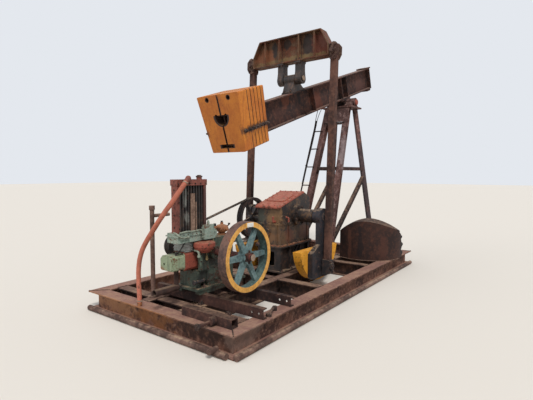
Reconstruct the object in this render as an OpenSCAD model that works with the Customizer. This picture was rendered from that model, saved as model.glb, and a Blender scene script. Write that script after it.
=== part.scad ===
// Beam pumping unit on a steel skid, with its engine, combination counterweights and the
// horsehead taken off and laid on its side. X runs along the skid towards the well, Y across,
// Z up from the ground. The origin is the middle of the skid on the ground.

/* [Skid] */
// Length of the skid over its end beams
skid_l = 4850; // [4700:10:5200]
// Width of the skid over its side beams
skid_w = 2290; // [2240:10:2500]
// Depth of the skid beams, which is also the height of the skid
skid_h = 212; // [180:2:260]
// Flange width of the skid's outer beams
skid_flange = 170; // [120:5:200]
// Distance from the middle of the skid to each inner beam
inner_y = 300; // [270:5:330]
// Flange width of the inner beams and cross beams
inner_flange = 130; // [90:5:150]
// Flange thickness of every skid beam
flange_t = 13; // [8:1:20]
// Web thickness of every skid beam
web_t = 9; // [6:1:16]
// Outside diameter of the pipe welded along the foot of the skid
edge_pipe_d = 60; // [40:2:80]

/* [Walking beam] */
// Height of the saddle bearing above the ground
saddle_z = 2880; // [2700:10:3100]
// Distance of the saddle bearing from the middle of the skid
saddle_x = 1900; // [1800:10:2000]
// Slope of the walking beam in the photographed position
beam_tilt = 18.4; // [15:0.1:20]
// Depth of the walking beam
beam_d = 390; // [350:5:430]
// Flange width of the walking beam
beam_b = 180; // [140:5:200]
// Flange thickness of the walking beam
beam_tf = 17; // [12:1:24]
// Web thickness of the walking beam
beam_tw = 11; // [8:1:18]
// Gap from the saddle bearing's axis to the underside of the beam
beam_rise = 84; // [76:1:100]
// Length of the beam from the saddle bearing to the well end
front_arm = 1190; // [1000:10:1400]
// Length of the beam from the saddle bearing to its weighted tail
rear_arm = 3210; // [3100:10:3300]
// Distance along the beam from the saddle bearing to the tail bearing
tail_arm = 1581; // [1500:1:1650]
// Height of the tail bearing's axis above the top of the beam
tail_rise = 176; // [150:1:220]

/* [Beam weights] */
// Width of the beam weights at their top
weight_w_top = 660; // [560:10:720]
// Width of the beam weights at their foot
weight_w_foot = 540; // [440:10:600]
// Height of the beam weights
weight_h = 705; // [640:5:760]
// Thickness of the cast front block
block_t = 165; // [120:5:200]
// Thickness of each plain plate behind the front block
plate_t = 68; // [50:1:80]
// Number of plain plates behind the front block
plate_n = 5; // [3:1:6]

/* [Equalizer and pitmans] */
// Distance from the middle of the unit to each pitman
pitman_y = 716; // [700:1:730]
// Width of a pitman bar, across the unit
pitman_b = 90; // [70:2:100]
// Depth of a pitman bar, along the unit
pitman_d = 75; // [60:1:90]
// Depth of the equalizer beam
eq_d = 378; // [320:2:400]
// Flange width of the equalizer beam
eq_b = 170; // [130:5:190]
// Height of the equalizer's underside above the tail bearing's axis
eq_rise = 245; // [225:5:280]

/* [Gearbox and cranks] */
// Height of the crankshaft above the ground
shaft_z = 1000; // [980:5:1020]
// Distance of the crankshaft from the middle of the skid
shaft_x = 50; // [30:5:70]
// Diameter of the crankshaft
shaft_d = 110; // [80:2:130]
// Width of the gearbox casing
box_w = 400; // [340:10:420]
// Height of the stand under the gearbox
stand_h = 368; // [340:2:390]
// Radius from the crankshaft to the wrist pin
crank_r = 690; // [660:5:700]
// Width of a crank arm
crank_w = 190; // [160:5:220]
// Width of the crank's broad lower end
paddle_w = 600; // [520:10:620]
// Thickness of a crank arm
crank_t = 75; // [60:1:80]
// Gap between a crank and the pitman that runs outside it
pitman_gap = 15; // [12:1:24]
// Radius of the half-moon crank weight
moon_r = 520; // [440:5:530]
// Thickness of the half-moon crank weight
moon_t = 125; // [90:5:130]
// Outside diameter of the reducer sheave
sheave_d = 590; // [520:10:600]
// Number of grooves in the reducer sheave
groove_n = 3; // [2:1:4]

/* [Engine] */
// Distance of the engine's crankshaft from the middle of the skid, towards the engine end
engine_x = 1780; // [1740:5:1800]
// Height of the engine's crankshaft above the ground
engine_z = 752; // [740:2:770]
// Distance from the middle of the skid to the flywheel's outer face
flywheel_y = 800; // [780:5:840]
// Outside diameter of the flywheel
flywheel_d = 730; // [680:5:740]
// Width of the flywheel's rim
rim_w = 107; // [80:1:120]
// Number of flywheel spokes
spoke_n = 6; // [5:1:8]
// Outside diameter of the engine's sheave
drive_d = 260; // [200:5:300]
// Width of the radiator, along the skid
radiator_w = 405; // [360:5:450]
// Height of the radiator
radiator_h = 545; // [480:5:600]
// Height of the channels that the engine is bolted to
rail_h = 105; // [90:1:120]
// Width of the engine's casing
engine_w = 290; // [260:5:320]
// Outside width and height of the cylinder's water jacket
jacket_d = 200; // [170:5:220]
// Outside diameter of the ribbed hose
hose_d = 50; // [40:1:60]

/* [Horsehead] */
// Radius of the horsehead's curved face
head_r = 545; // [480:5:560]
// Width of the horsehead's face, which stands upright as it lies
head_w = 634; // [560:2:650]
// Plate thickness of the horsehead
head_t = 14; // [8:1:20]

/* [Hidden] */

round_fn = 64;
fine_fn = 32;
fit = 0.05;            // radial clearance of a shaft in its bearing
seat = 0.3;            // gap between pieces that seat on each other across a joint
belt_mid = 345;        // Y of the middle of the belts
groove_step = 24;      // spacing of the grooves

side_y = skid_w / 2 - skid_flange / 2;
end_x = skid_l / 2 - skid_flange / 2;

beam_mid_h = beam_rise + beam_d / 2;
beam_top_h = beam_rise + beam_d;
tail_h = beam_top_h + tail_rise;
tail_x = saddle_x - tail_arm * cos(beam_tilt) - tail_h * sin(beam_tilt);
tail_z = saddle_z - tail_arm * sin(beam_tilt) + tail_h * cos(beam_tilt);

saddle_shaft_d = 90;
saddle_block_r = 78;
saddle_block_in = 115;
saddle_block_out = 262;
post_top_z = saddle_z - 80;
post_top_t = 24;
post_y = 215;

tail_shaft_d = 80;
tail_block_y = 92;
hanger_y = 104;
hanger_t = 100;

eq_z = tail_z + eq_rise;
eq_half = 660;
clevis_out = pitman_y + pitman_b / 2 + 36;
clevis_z = tail_z + 290;
clevis_pin_d = 40;
cheek_t = 22;
pin_z = shaft_z - crank_r;
wrist_box = 190;
wrist_in = pitman_y - pitman_b / 2 - 6;
crank_out = wrist_in - pitman_gap;
crank_in = crank_out - crank_t;
collar_t = pitman_gap - 6.5;

ex = -engine_x;
rail_w = 62;
rail_xs = [ex - 175, ex + 302];    // web side of each rail
rail_y0 = -skid_w / 2 + 40;
rail_y1 = 460;
bed_z = skid_h + rail_h;
bed_top = bed_z + 68;
flange_h = 25;

eng_mid_y = -125;
engine_shaft_d = 70;
eng_half = engine_w / 2;
eng_y0 = eng_mid_y - eng_half;
eng_y1 = eng_mid_y + eng_half;
case_top = engine_z + 148;

// Section of a rolled beam, width b across X and depth d up Y, centred
module i_section(d, b, tf, tw) {
    translate([-b / 2, -d / 2]) square([b, tf]);
    translate([-b / 2, d / 2 - tf]) square([b, tf]);
    translate([-tw / 2, -d / 2]) square([tw, d]);
}

// Rolled beam along X from x0 to x1, with its underside at z0
module beam_x(x0, x1, y, z0, d, b, tf, tw) {
    translate([x0, y, z0 + d / 2]) rotate([90, 0, 90])
        linear_extrude(x1 - x0) i_section(d, b, tf, tw);
}

// Rolled beam along Y from y0 to y1, with its underside at z0
module beam_y(x, y0, y1, z0, d, b, tf, tw) {
    translate([x, y1, z0 + d / 2]) rotate([90, 0, 0])
        linear_extrude(y1 - y0) i_section(d, b, tf, tw);
}

// Places a child that is drawn along +X from the origin so that it runs from p to q
module from_to(p, q) {
    v = q - p;
    translate(p) rotate([0, -asin(v[2] / norm(v)), atan2(v[1], v[0])]) children();
}

// Round bar along Y
module bar_y(x, z, y0, y1, d, fn = round_fn) {
    translate([x, y0, z]) rotate([-90, 0, 0]) cylinder(h = y1 - y0, d = d, $fn = fn);
}

// Round bar along X
module bar_x(y, z, x0, x1, d, fn = fine_fn) {
    translate([x0, y, z]) rotate([0, 90, 0]) cylinder(h = x1 - x0, d = d, $fn = fn);
}

// Plain block given by its two corners
module block(lo, hi) {
    translate(lo) cube(hi - lo);
}

module mirrored_y() {
    children();
    mirror([0, 1, 0]) children();
}

// The walking beam's own frame: origin at the saddle bearing, X along the beam
module on_beam() {
    translate([saddle_x, 0, saddle_z]) rotate([0, -beam_tilt, 0]) children();
}

module side_beams() {
    color("sienna") mirrored_y() intersection() {
        beam_x(-skid_l / 2, skid_l / 2, side_y, 0, skid_h, skid_flange, flange_t, web_t);
        linear_extrude(skid_h) polygon([[-skid_l / 2, skid_w / 2], [skid_l / 2, skid_w / 2],
            [skid_l / 2 - skid_flange, skid_w / 2 - skid_flange],
            [-skid_l / 2 + skid_flange, skid_w / 2 - skid_flange]]);
    }
}

module end_beams() {
    color("sienna") for (side = [-1, 1]) intersection() {
        beam_y(side * end_x, -skid_w / 2, skid_w / 2, 0, skid_h, skid_flange, flange_t, web_t);
        linear_extrude(skid_h) polygon([[side * skid_l / 2, -skid_w / 2],
            [side * skid_l / 2, skid_w / 2],
            [side * (skid_l / 2 - skid_flange), skid_w / 2 - skid_flange],
            [side * (skid_l / 2 - skid_flange), -skid_w / 2 + skid_flange]]);
    }
}

module inner_beams() {
    color("saddlebrown") mirrored_y()
        beam_x(-skid_l / 2 + skid_flange, skid_l / 2 - skid_flange, inner_y, 0, skid_h,
            inner_flange, flange_t, web_t);
}

rear_foot_x = saddle_x - 1040;
cross_xs = [-skid_l / 2 + 345, shaft_x - 650, rear_foot_x, skid_l / 2 - 1155];
module cross_beams() {
    in = inner_y - inner_flange / 2;
    out = inner_y + inner_flange / 2;
    color("saddlebrown") {
        for (x = concat(cross_xs, [shaft_x - 50])) beam_y(x, -in, in, 0, skid_h, inner_flange, flange_t, web_t);
        mirrored_y() for (x = cross_xs)
            beam_y(x, out, skid_w / 2 - skid_flange, 0, skid_h, inner_flange, flange_t, web_t);
    }
}

module edge_pipes() {
    r = edge_pipe_d / 2;
    off = sqrt(r * r - (r - flange_t) * (r - flange_t));
    color("rosybrown") {
        bar_x(-skid_w / 2 - off, r, -skid_l / 2, skid_l / 2 - 120, edge_pipe_d);
        bar_y(-skid_l / 2 - off, r, -skid_w / 2 + 60, skid_w / 2 - 60, edge_pipe_d, fine_fn);
        bar_x(-skid_w / 2 + 195, r + 34, -skid_l / 2 - 110, -skid_l / 2 - off + 20, 52);
    }
}

// Rolled channel on its side flanges, web towards the engine end, with bolt holes near its end
module engine_rails() {
    l = rail_y1 - rail_y0;
    color("peru") for (x = rail_xs) difference() {
        translate([x, rail_y1, skid_h]) rotate([90, 0, 0]) linear_extrude(l)
            polygon([[0, 0], [rail_w, 0], [rail_w, 9], [8, 13], [8, rail_h - 13], [rail_w, rail_h - 9],
                [rail_w, rail_h], [0, rail_h]]);
        for (y = [52, 142]) bar_x(rail_y0 + y, skid_h + rail_h / 2, x - 1, x + 9, 24);
    }
}

module take_up() {
    box_x = -skid_l / 2 + 105;
    screw_y = -skid_w / 2 + 330;
    box_y0 = -skid_w / 2 + 120;
    color("tan") {
        difference() {
            block([box_x, box_y0, skid_h], [box_x + 92, box_y0 + 650, skid_h + 88]);
            block([box_x + 8, box_y0 - 1, skid_h + 8], [box_x + 84, box_y0 + 651, skid_h + 80]);
        }
        bar_x(screw_y, skid_h + 44, box_x - 230, box_x + 200, 34);
        bar_x(screw_y, skid_h + 44, box_x - 62, box_x, 84);
        for (x = [-56:14:-14]) bar_x(screw_y, skid_h + 44, box_x + x, box_x + x + 7, 87);
    }
}

foot_t = 16;
brace_z = saddle_z - 1190;         // height of the braces half way up the legs
apron_z = saddle_z - 365;          // foot of the plate between the rear legs' heads
rear_leg_b = 95;
front_leg_b = 70;
rear_foot = [rear_foot_x, inner_y - 10, skid_h + foot_t];
rear_head = [saddle_x - 160, 185, post_top_z - 10];
front_foot = [skid_l / 2 - 95, 450, skid_h + foot_t];
front_head = [saddle_x + 120, 190, post_top_z - 10];

// Place on a leg where it is z above the ground
function at_height(p, q, z) = p + (q - p) * (z - p[2]) / (q[2] - p[2]);

// Space between the foot plates and the cap of the post, where the legs stand
module leg_room() {
    block([-skid_l, -skid_w, skid_h + foot_t], [skid_l, skid_w, post_top_z - post_top_t]);
}

// Length of a leg between two of its places, seen from the side
function from_to_run(p, q) = norm([q[0] - p[0], q[2] - p[2]]);

// Solid bar of the outline of a leg, which what is welded to the leg is cut to
module leg_envelope(foot, head, side) {
    from_to(foot, head) translate([-200, -side / 2, -side / 2])
        cube([norm(head - foot) + 400, side, side]);
}

module rear_legs() {
    color("rosybrown") mirrored_y() {
        intersection() {
            from_to(rear_foot, rear_head) translate([-200, 0, 0]) rotate([90, 0, 90])
                linear_extrude(norm(rear_head - rear_foot) + 400) i_section(rear_leg_b, rear_leg_b, 9, 8);
            leg_room();
        }
        block([rear_foot[0] - 110, rear_foot[1] - 65, skid_h],
            [rear_foot[0] + 110, rear_foot[1] + 75, skid_h + foot_t]);
    }
}

module front_legs() {
    color("brown") mirrored_y() {
        intersection() {
            from_to(front_foot, front_head) translate([-200, 0, 0]) rotate([90, 0, 90])
                linear_extrude(norm(front_head - front_foot) + 400) difference() {
                    square(front_leg_b, center = true);
                    translate([-front_leg_b / 2 + 8, -front_leg_b / 2 + 8]) square(front_leg_b);
                }
            leg_room();
        }
        block([front_foot[0] - 75, front_foot[1] - 80, skid_h],
            [front_foot[0] + 75, front_foot[1] + 80, skid_h + foot_t]);
    }
}

module leg_braces() {
    rear_mid = at_height(rear_foot, rear_head, brace_z);
    front_mid = at_height(front_foot, front_head, brace_z);
    low = at_height(rear_foot, rear_head, skid_h + 208);
    high = at_height(front_foot, front_head, brace_z - 130);
    tie = at_height(rear_foot, rear_head, apron_z - 24);
    color("saddlebrown") difference() {
        union() {
            block([rear_mid[0] - 30, -rear_mid[1], brace_z - 30],
                [rear_mid[0] + 30, rear_mid[1], brace_z + 30]);
            block([tie[0] - 56, -tie[1], apron_z - 42], [tie[0] + 14, tie[1], apron_z - 6]);
            mirrored_y() {
                from_to(rear_mid, front_mid) translate([0, -30, -30])
                    cube([norm(front_mid - rear_mid), 60, 60]);
                from_to(low, high) translate([0, -30, -30]) cube([norm(high - low) - 30, 60, 60]);
            }
        }
        mirrored_y() {
            leg_envelope(rear_foot, rear_head, rear_leg_b);
            leg_envelope(front_foot, front_head, front_leg_b);
        }
    }
}

// Plate between the heads of the rear legs, in line with their outer flanges
module leg_apron() {
    foot = at_height(rear_foot, rear_head, apron_z);
    head = at_height(rear_foot, rear_head, post_top_z - post_top_t);
    slope = from_to_run(foot, head);
    difference() {
        intersection() {
            from_to([foot[0], 0, foot[2]], [head[0], 0, head[2]])
                translate([-60, 0, rear_leg_b / 2 - 9]) linear_extrude(9)
                    polygon([[0, -foot[1]], [slope + 120, -head[1]], [slope + 120, head[1]], [0, foot[1]]]);
            block([-skid_l, -skid_w, apron_z], [skid_l, skid_w, post_top_z - post_top_t]);
        }
        mirrored_y() leg_envelope(rear_foot, rear_head, rear_leg_b);
    }
}

module post_cap() {
    x0 = saddle_x - 230;
    x1 = saddle_x + 190;
    color("rosybrown") {
        block([x0, -292, post_top_z - post_top_t], [x1, 292, post_top_z]);
        leg_apron();
        mirrored_y() {
            difference() {
                union() {
                    bar_y(saddle_x, saddle_z, saddle_block_in, saddle_block_out, 2 * saddle_block_r);
                    translate([saddle_x, saddle_block_out - 26, 0]) rotate([90, 0, 0])
                        linear_extrude(saddle_block_out - saddle_block_in - 26)
                            polygon([[-150, post_top_z], [150, post_top_z], [150, post_top_z + 26],
                                [saddle_block_r, saddle_z], [-saddle_block_r, saddle_z],
                                [-150, post_top_z + 26]]);
                    bar_y(saddle_x, saddle_z, saddle_block_out, saddle_block_out + 12, 118);
                }
                bar_y(saddle_x, saddle_z, saddle_block_in - 1, saddle_block_out + 13,
                    saddle_shaft_d + 2 * fit);
            }
        }
    }
}

module ladder() {
    ladder_top = saddle_z - 320;
    top = at_height(rear_foot, rear_head, ladder_top);
    foot = at_height(rear_foot, rear_head, skid_h + 90);
    out = 150;
    color("dimgray") difference() {
        union() {
            from_to(foot + [-95, out, 0], top + [-95, out, 0]) translate([0, -9, -9])
                cube([norm(top - foot), 18, 18]);
            for (z = [skid_h + 228:320:ladder_top]) {
                p = at_height(rear_foot, rear_head, z);
                block([p[0] - 104, p[1] + 20, z - 9], [p[0] - 86, p[1] + out + 9, z + 9]);
                block([p[0] - 104, p[1] + 20, z - 9], [p[0] - 20, p[1] + 38, z + 9]);
            }
        }
        leg_envelope(rear_foot, rear_head, rear_leg_b);
    }
}

case_x0 = shaft_x - 407;
case_x1 = shaft_x + 370;
case_z0 = skid_h + stand_h;
case_nose = shaft_z + 140;
case_crest = [shaft_x + 190, shaft_z + 320];
cover_t = 20;

module gearbox_stand() {
    y = box_w / 2;
    z0 = skid_h + 20;
    z1 = case_z0 - 18;
    mid = (case_x0 + case_x1) / 2;
    color("darkslategray") {
        block([case_x0 - 20, -y - 30, skid_h], [case_x1 + 20, y + 30, z0]);
        block([case_x0 - 26, -y - 26, z1], [case_x1 + 26, y + 26, case_z0]);
        mirrored_y() {
            block([case_x0, y - 60, z0], [case_x1, y - 48, z1]);
            for (x = [case_x0, mid - 150, mid + 138, case_x1 - 12])
                block([x, y - 110, z0], [x + 12, y, z1]);
            for (x = [case_x0, case_x1 - 46]) block([x, y - 12, z0], [x + 46, y, z1]);
            translate([0, y - 30, 0]) rotate([90, 0, 0]) linear_extrude(18)
                polygon([[mid - 138, z0], [mid - 110, z0], [mid + 138, z1 - 28], [mid + 138, z1],
                    [mid + 110, z1], [mid - 138, z0 + 28]]);
        }
        block([case_x0, 110 - y, z0], [case_x0 + 12, y - 110, z0 + 70]);
        block([case_x0, 110 - y, z1 - 60], [case_x0 + 12, y - 110, z1]);
    }
}

// Split casing: a lower half, an upper half with a sloping front, and the bearing bosses
module gearbox_case() {
    y = box_w / 2;
    split = shaft_z - 105;
    color("dimgray") difference() {
        union() {
            translate([0, y, 0]) rotate([90, 0, 0]) linear_extrude(box_w)
                polygon([[case_x0, case_z0], [case_x1, case_z0], [case_x1, shaft_z + 240],
                    [case_crest[0] + 40, case_crest[1]], case_crest, [case_x0, case_nose]]);
            block([case_x0 - 14, -y - 14, split - 12], [case_x1 + 14, y + 14, split + 12]);
            block([case_x0 - 20, -y - 24, case_z0], [case_x1 + 20, y + 24, case_z0 + 22]);
            bar_y(shaft_x, shaft_z, -y - 60, y + 60, 300);
            bar_y(shaft_x, shaft_z, -crank_in + 70, -y - 60, 190);
            bar_y(sheave_x, sheave_z, -y - 18, -y, 130);
            bar_y(sheave_x, sheave_z, y, y + 60, 84);
            for (x = [case_x0 + 190, case_x1 - 90]) mirrored_y()
                block([x, y, case_z0 + 22], [x + 16, y + 18, split - 12]);
            for (h = [-y + 60, y - 76]) block([case_x0 - 14, h, case_z0 + 22], [case_x0, h + 16, split - 12]);
            bar_x(40, split - 130, case_x0 - 20, case_x0, 120);
        }
        bar_y(shaft_x, shaft_z, -y - 400, y + 400, shaft_d + 2 * fit);
        bar_y(sheave_x, sheave_z, y - 60, y + 61, input_d + 2 * fit);
    }
}

// Lid on the sloping front, with its rolled lip over the nose and a bolted cover plate
module gearbox_cover() {
    y = box_w / 2 + 14;
    nose = [case_x0, case_nose];
    slope = unit(case_crest - nose);
    up = [-slope[1], slope[0]];
    color("tomato") {
        translate([0, y, 0]) rotate([90, 0, 0]) linear_extrude(2 * y)
            polygon([nose - slope * 34, case_crest, case_crest + up * cover_t, nose - slope * 22 + up * cover_t,
                nose - slope * 44 + up * 6, nose - slope * 44 - up * 14, nose - slope * 34 - up * 14]);
        translate([0, y - 60, 0]) rotate([90, 0, 0]) linear_extrude(2 * y - 120)
            polygon([nose + slope * 150 + up * cover_t, nose + slope * 430 + up * cover_t,
                nose + slope * 430 + up * (cover_t + 12), nose + slope * 150 + up * (cover_t + 12)]);
    }
}

module walking_beam() {
    web_gap = (beam_b - beam_tw) / 2;
    color("saddlebrown") on_beam() {
        beam_x(-rear_arm, front_arm, 0, beam_rise, beam_d, beam_b, beam_tf, beam_tw);
        for (x = [-1130, -120, 100]) mirrored_y()
            block([x, beam_tw / 2, beam_rise + beam_tf],
                [x + 14, beam_tw / 2 + web_gap - 4, beam_top_h - beam_tf]);
        block([front_arm - 170, -110, beam_top_h], [front_arm + 10, 110, beam_top_h + 22]);
        block([front_arm - 150, -70, beam_rise - 40], [front_arm, 70, beam_rise]);
        block([front_arm, -beam_b / 2, beam_rise], [front_arm + 14, beam_b / 2, beam_top_h]);
    }
}

module saddle_hub() {
    color("dimgray") {
        on_beam() {
            bar_y(0, 0, -100, 100, 130);
            block([-170, -beam_b / 2, beam_rise - 24], [170, beam_b / 2, beam_rise]);
            block([-55, -85, 30], [55, 85, beam_rise - 24]);
        }
        bar_y(saddle_x, saddle_z, -saddle_block_out - 8, saddle_block_out + 8, saddle_shaft_d);
    }
}

module tail_block() {
    color("dimgray") on_beam() difference() {
        union() {
            block([-tail_arm - 190, -85, beam_top_h], [-tail_arm + 190, 85, beam_top_h + 22]);
            translate([-tail_arm, tail_block_y - 8, 0]) rotate([90, 0, 0])
                linear_extrude(2 * tail_block_y - 16)
                    polygon([[-172, beam_top_h + 22], [172, beam_top_h + 22], [150, beam_top_h + 40],
                        [72, tail_h - 40], [65, tail_h], [-65, tail_h], [-72, tail_h - 40],
                        [-150, beam_top_h + 40]]);
            bar_y(-tail_arm, tail_h, -tail_block_y, tail_block_y, 146);
        }
        bar_y(-tail_arm, tail_h, -tail_block_y - 1, tail_block_y + 1, tail_shaft_d + 2 * fit);
    }
}

weight_foot_h = 14;
weight_x0 = -rear_arm - 50;        // front face of the stack of weights, along the beam
slot_gap = 8;                      // room round the beam's flanges in a weight
screw_d = 26;
screw_h = 258;

// Points of a quarter turn of radius r about c, from angle a
function arc(c, r, a, turn = 90, n = 5) = [for (i = [0:n]) c + r * [cos(a + turn * i / n),
    sin(a + turn * i / n)]];

// Outline of a weight, seen along the beam, with eased corners
module weight_outline() {
    f = weight_w_foot / 2;
    t = weight_w_top / 2;
    z0 = weight_foot_h;
    z1 = weight_foot_h + weight_h;
    r = 16;
    polygon(concat(arc([f - r, z0 + r], r, -90), arc([t - r, z1 - r], r, 0),
        arc([-t + r, z1 - r], r, 90), arc([-f + r, z0 + r], r, 180)));
}

// Opening of a weight: a slot for the beam's lower flange, a slit for its web, and a cup round its
// upper flange whose two pads hang the weight, with a saw cut up to the weight's top
module beam_slot() {
    w = beam_b / 2 + slot_gap;
    top = beam_top_h + seat;
    slit = beam_tw / 2 + 6;
    translate([-w, beam_rise - 2 * slot_gap]) square([2 * w, beam_tf + 4 * slot_gap]);
    translate([-slit, beam_rise]) square([2 * slit, beam_d - 60]);
    translate([-6, top - 1]) square([12, weight_h]);
    intersection() {
        translate([0, top - 24]) scale([1, 1.06]) circle(r = w, $fn = round_fn);
        translate([-w, top - 24 - 1.06 * w]) square([2 * w, 24 + 1.06 * w]);
    }
    for (x = [-1, 1]) translate([x * (w - 20), top - 4]) circle(r = 20, $fn = fine_fn);
}

// Room in a weight from its side to the beam's web, for a clamp screw
module screw_holes(xs) {
    for (x = xs) bar_y(x, screw_h, -weight_w_top, weight_w_top, screw_d + 2 * fit, fine_fn);
}

module weight_slab(x, t) {
    translate([x, 0, 0]) rotate([90, 0, 90]) linear_extrude(t) difference() {
        weight_outline();
        beam_slot();
        for (y = [-1, 1]) translate([y * (weight_w_top / 2 - 160), weight_foot_h + weight_h - 48])
            circle(d = 48, $fn = fine_fn);
    }
}

block_screws = [weight_x0 + 42, weight_x0 + block_t - 42];
plate_screws = [for (i = [0:plate_n - 1]) weight_x0 + block_t + (i + 0.5) * plate_t];

module front_weight() {
    color("orange") on_beam() difference() {
        weight_slab(weight_x0, block_t);
        screw_holes(block_screws);
        block([weight_x0 - 1, -6, weight_foot_h - 1], [weight_x0 + 20, 6, beam_rise]);
    }
}

module weight_plates() {
    color("goldenrod") on_beam() difference() {
        for (i = [0:plate_n - 1]) weight_slab(weight_x0 + block_t + i * plate_t + 2, plate_t - 6);
        screw_holes(plate_screws);
    }
}

// Square headed screws through the sides of the weights, which bear on the beam's web
module weight_clamps() {
    side = weight_w_foot / 2 + (weight_w_top - weight_w_foot) / 2 * (screw_h + 25 - weight_foot_h) / weight_h;
    color("gray") on_beam() for (x = concat(block_screws, plate_screws)) mirrored_y() {
        bar_y(x, screw_h, beam_tw / 2 + seat, side + 52, screw_d, fine_fn);
        translate([x, side + seat, screw_h]) rotate([-90, 30, 0]) cylinder(h = 22, d = 50, $fn = 6);
    }
}

eq_end_h = 150;                    // height of the equalizer's end plates
eq_slope_y = 125;                  // how far in the slope of its upper corners reaches
eq_skin = 14;

// The equalizer seen along the unit, drawn t inside its outline
function eq_view(t) = let (k = (eq_d - eq_end_h) / eq_slope_y, c = sqrt(1 + k * k), e = eq_half - t,
    z = eq_end_h - t * (c - k), y = eq_half - eq_slope_y - t * (c - 1) / k)
    [[-e, t], [e, t], [e, z], [y, eq_d - t], [-y, eq_d - t], [-e, z]];

// Welded beam whose upper flange runs down over its sloped corners to the end plates
module equalizer() {
    color("darkgoldenrod") translate([tail_x, 0, eq_z]) {
        translate([-eq_b / 2, 0, 0]) rotate([90, 0, 90]) linear_extrude(eq_b) difference() {
            polygon(eq_view(0));
            polygon(eq_view(eq_skin));
        }
        translate([-5.5, 0, 0]) rotate([90, 0, 90]) linear_extrude(11) polygon(eq_view(eq_skin / 2));
        for (y = [-430, -170, 170, 430])
            block([-eq_b / 2 + 3, y - 7, eq_skin / 2], [eq_b / 2 - 3, y + 7, eq_d - eq_skin / 2]);
    }
}

// Pair of forged straps under the equalizer, round about the tail shaft that they carry
module hangers() {
    r = 78;
    color("olive") {
        bar_y(tail_x, tail_z, -hanger_y - hanger_t - 10, hanger_y + hanger_t + 10, tail_shaft_d);
        mirrored_y() translate([tail_x, hanger_y + hanger_t, 0]) rotate([90, 0, 0]) {
            translate([0, tail_z]) cylinder(h = hanger_t, r = r, $fn = round_fn);
            linear_extrude(hanger_t) polygon([[-r, tail_z], [r, tail_z], [58, tail_z + 110],
                [58, eq_z - 26], [80, eq_z - 26], [80, eq_z], [-80, eq_z], [-80, eq_z - 26],
                [-58, eq_z - 26], [-58, tail_z + 110]]);
        }
    }
}

// The pitmans' own frame: origin at the clevis pin, Z up along the pitman
pitman_l = norm([tail_x - shaft_x, clevis_z - pin_z]);
pitman_lean = atan2(tail_x - shaft_x, clevis_z - pin_z);
module on_pitman() {
    translate([tail_x, 0, clevis_z]) rotate([0, pitman_lean, 0]) children();
}

module pitmans() {
    color("saddlebrown") on_pitman() mirrored_y() difference() {
        block([-pitman_d / 2, pitman_y - pitman_b / 2, -pitman_l + wrist_box / 2],
            [pitman_d / 2, pitman_y + pitman_b / 2, 62]);
        bar_x(pitman_y, 0, -pitman_d, pitman_d, clevis_pin_d + 2 * fit);
    }
}

// Forked castings bolted to the equalizer's ends, with round cheeks about the pitman's pin
module pitman_clevises() {
    x0 = pitman_d / 2 + 1;
    y0 = eq_half + seat;
    y1 = clevis_out;
    low = eq_z - clevis_z + 14;
    high = eq_z + eq_end_h - clevis_z - 6;
    color("darkkhaki") on_pitman() mirrored_y() {
        for (side = [-1, 1]) difference() {
            translate([side * (x0 + cheek_t / 2) - cheek_t / 2, 0, 0]) rotate([90, 0, 90])
                linear_extrude(cheek_t) {
                    polygon([[y0, low], [pitman_y - 44, -106], [pitman_y, -118], [pitman_y + 44, -106],
                        [y1, -40], [y1, 66], [pitman_y + 40, 116], [pitman_y, 128], [y0, high]]);
                }
            bar_x(pitman_y, 0, side * (x0 + cheek_t / 2) - cheek_t, side * (x0 + cheek_t / 2) + cheek_t,
                clevis_pin_d + 2 * fit);
        }
        bar_x(pitman_y, 0, -x0 - cheek_t - 30, x0 + cheek_t + 60, clevis_pin_d);
        bar_x(pitman_y, 0, -x0 - cheek_t - 20, -x0 - cheek_t - seat, 78);
    }
}

module wrist_bearings() {
    color("darkslategray") on_pitman() translate([0, 0, -pitman_l]) mirrored_y() {
        block([-70, wrist_in, -wrist_box / 2], [70, pitman_y + 62, wrist_box / 2]);
        bar_y(0, 0, pitman_y + 62, pitman_y + 80, 110, fine_fn);
    }
}

module crankshaft() {
    color("silver") bar_y(shaft_x, shaft_z, -crank_out - 6, crank_out + 6, shaft_d);
}

// Crank with a hub, a straight arm and a broad lower end that the half-moon weight is bolted to
module cranks() {
    tip = crank_r + 150;
    far = crank_r + 210;           // nothing on a crank reaches further than this from its shaft
    w = crank_w / 2;
    color("midnightblue") mirrored_y() difference() {
        translate([shaft_x, crank_out, shaft_z]) rotate([90, 0, 0]) union() {
            linear_extrude(crank_t) union() {
                circle(d = crank_w + 50, $fn = round_fn);
                intersection() {
                    polygon([[-w, -380], [-paddle_w / 2, -485], [-paddle_w / 2, -tip],
                        [w + 60, -tip], [w + 60, -530], [w, -450], [w, -380]]);
                    circle(r = far, $fn = 96);
                    translate([0, -crank_r + 130]) circle(r = 390, $fn = 96);
                }
                translate([-w, -500]) square([2 * w, 500]);
            }
            cylinder(h = crank_t + 55, d = 200, $fn = round_fn);
            translate([0, -crank_r, -collar_t]) cylinder(h = collar_t, d = 120, $fn = round_fn);
        }
        bar_y(shaft_x, shaft_z, crank_in - 60, crank_out + 1, shaft_d + 2 * fit);
    }
}

moon_z = shaft_z - 380;            // centre of the half-moon's rim
moon_flat = moon_z - 70;           // its straight upper edge
module crank_weights() {
    color("gold") mirrored_y() translate([shaft_x + 35, crank_in, 0]) rotate([90, 0, 0])
        linear_extrude(moon_t) intersection() {
            translate([0, moon_z]) circle(r = moon_r, $fn = 96);
            translate([-moon_r, moon_z - moon_r]) square([2 * moon_r, moon_flat - moon_z + moon_r]);
        }
}

sheave_w = groove_n * groove_step + 12;
sheave_x = shaft_x - 365;
sheave_z = shaft_z - 40;
input_d = 60;

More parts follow.
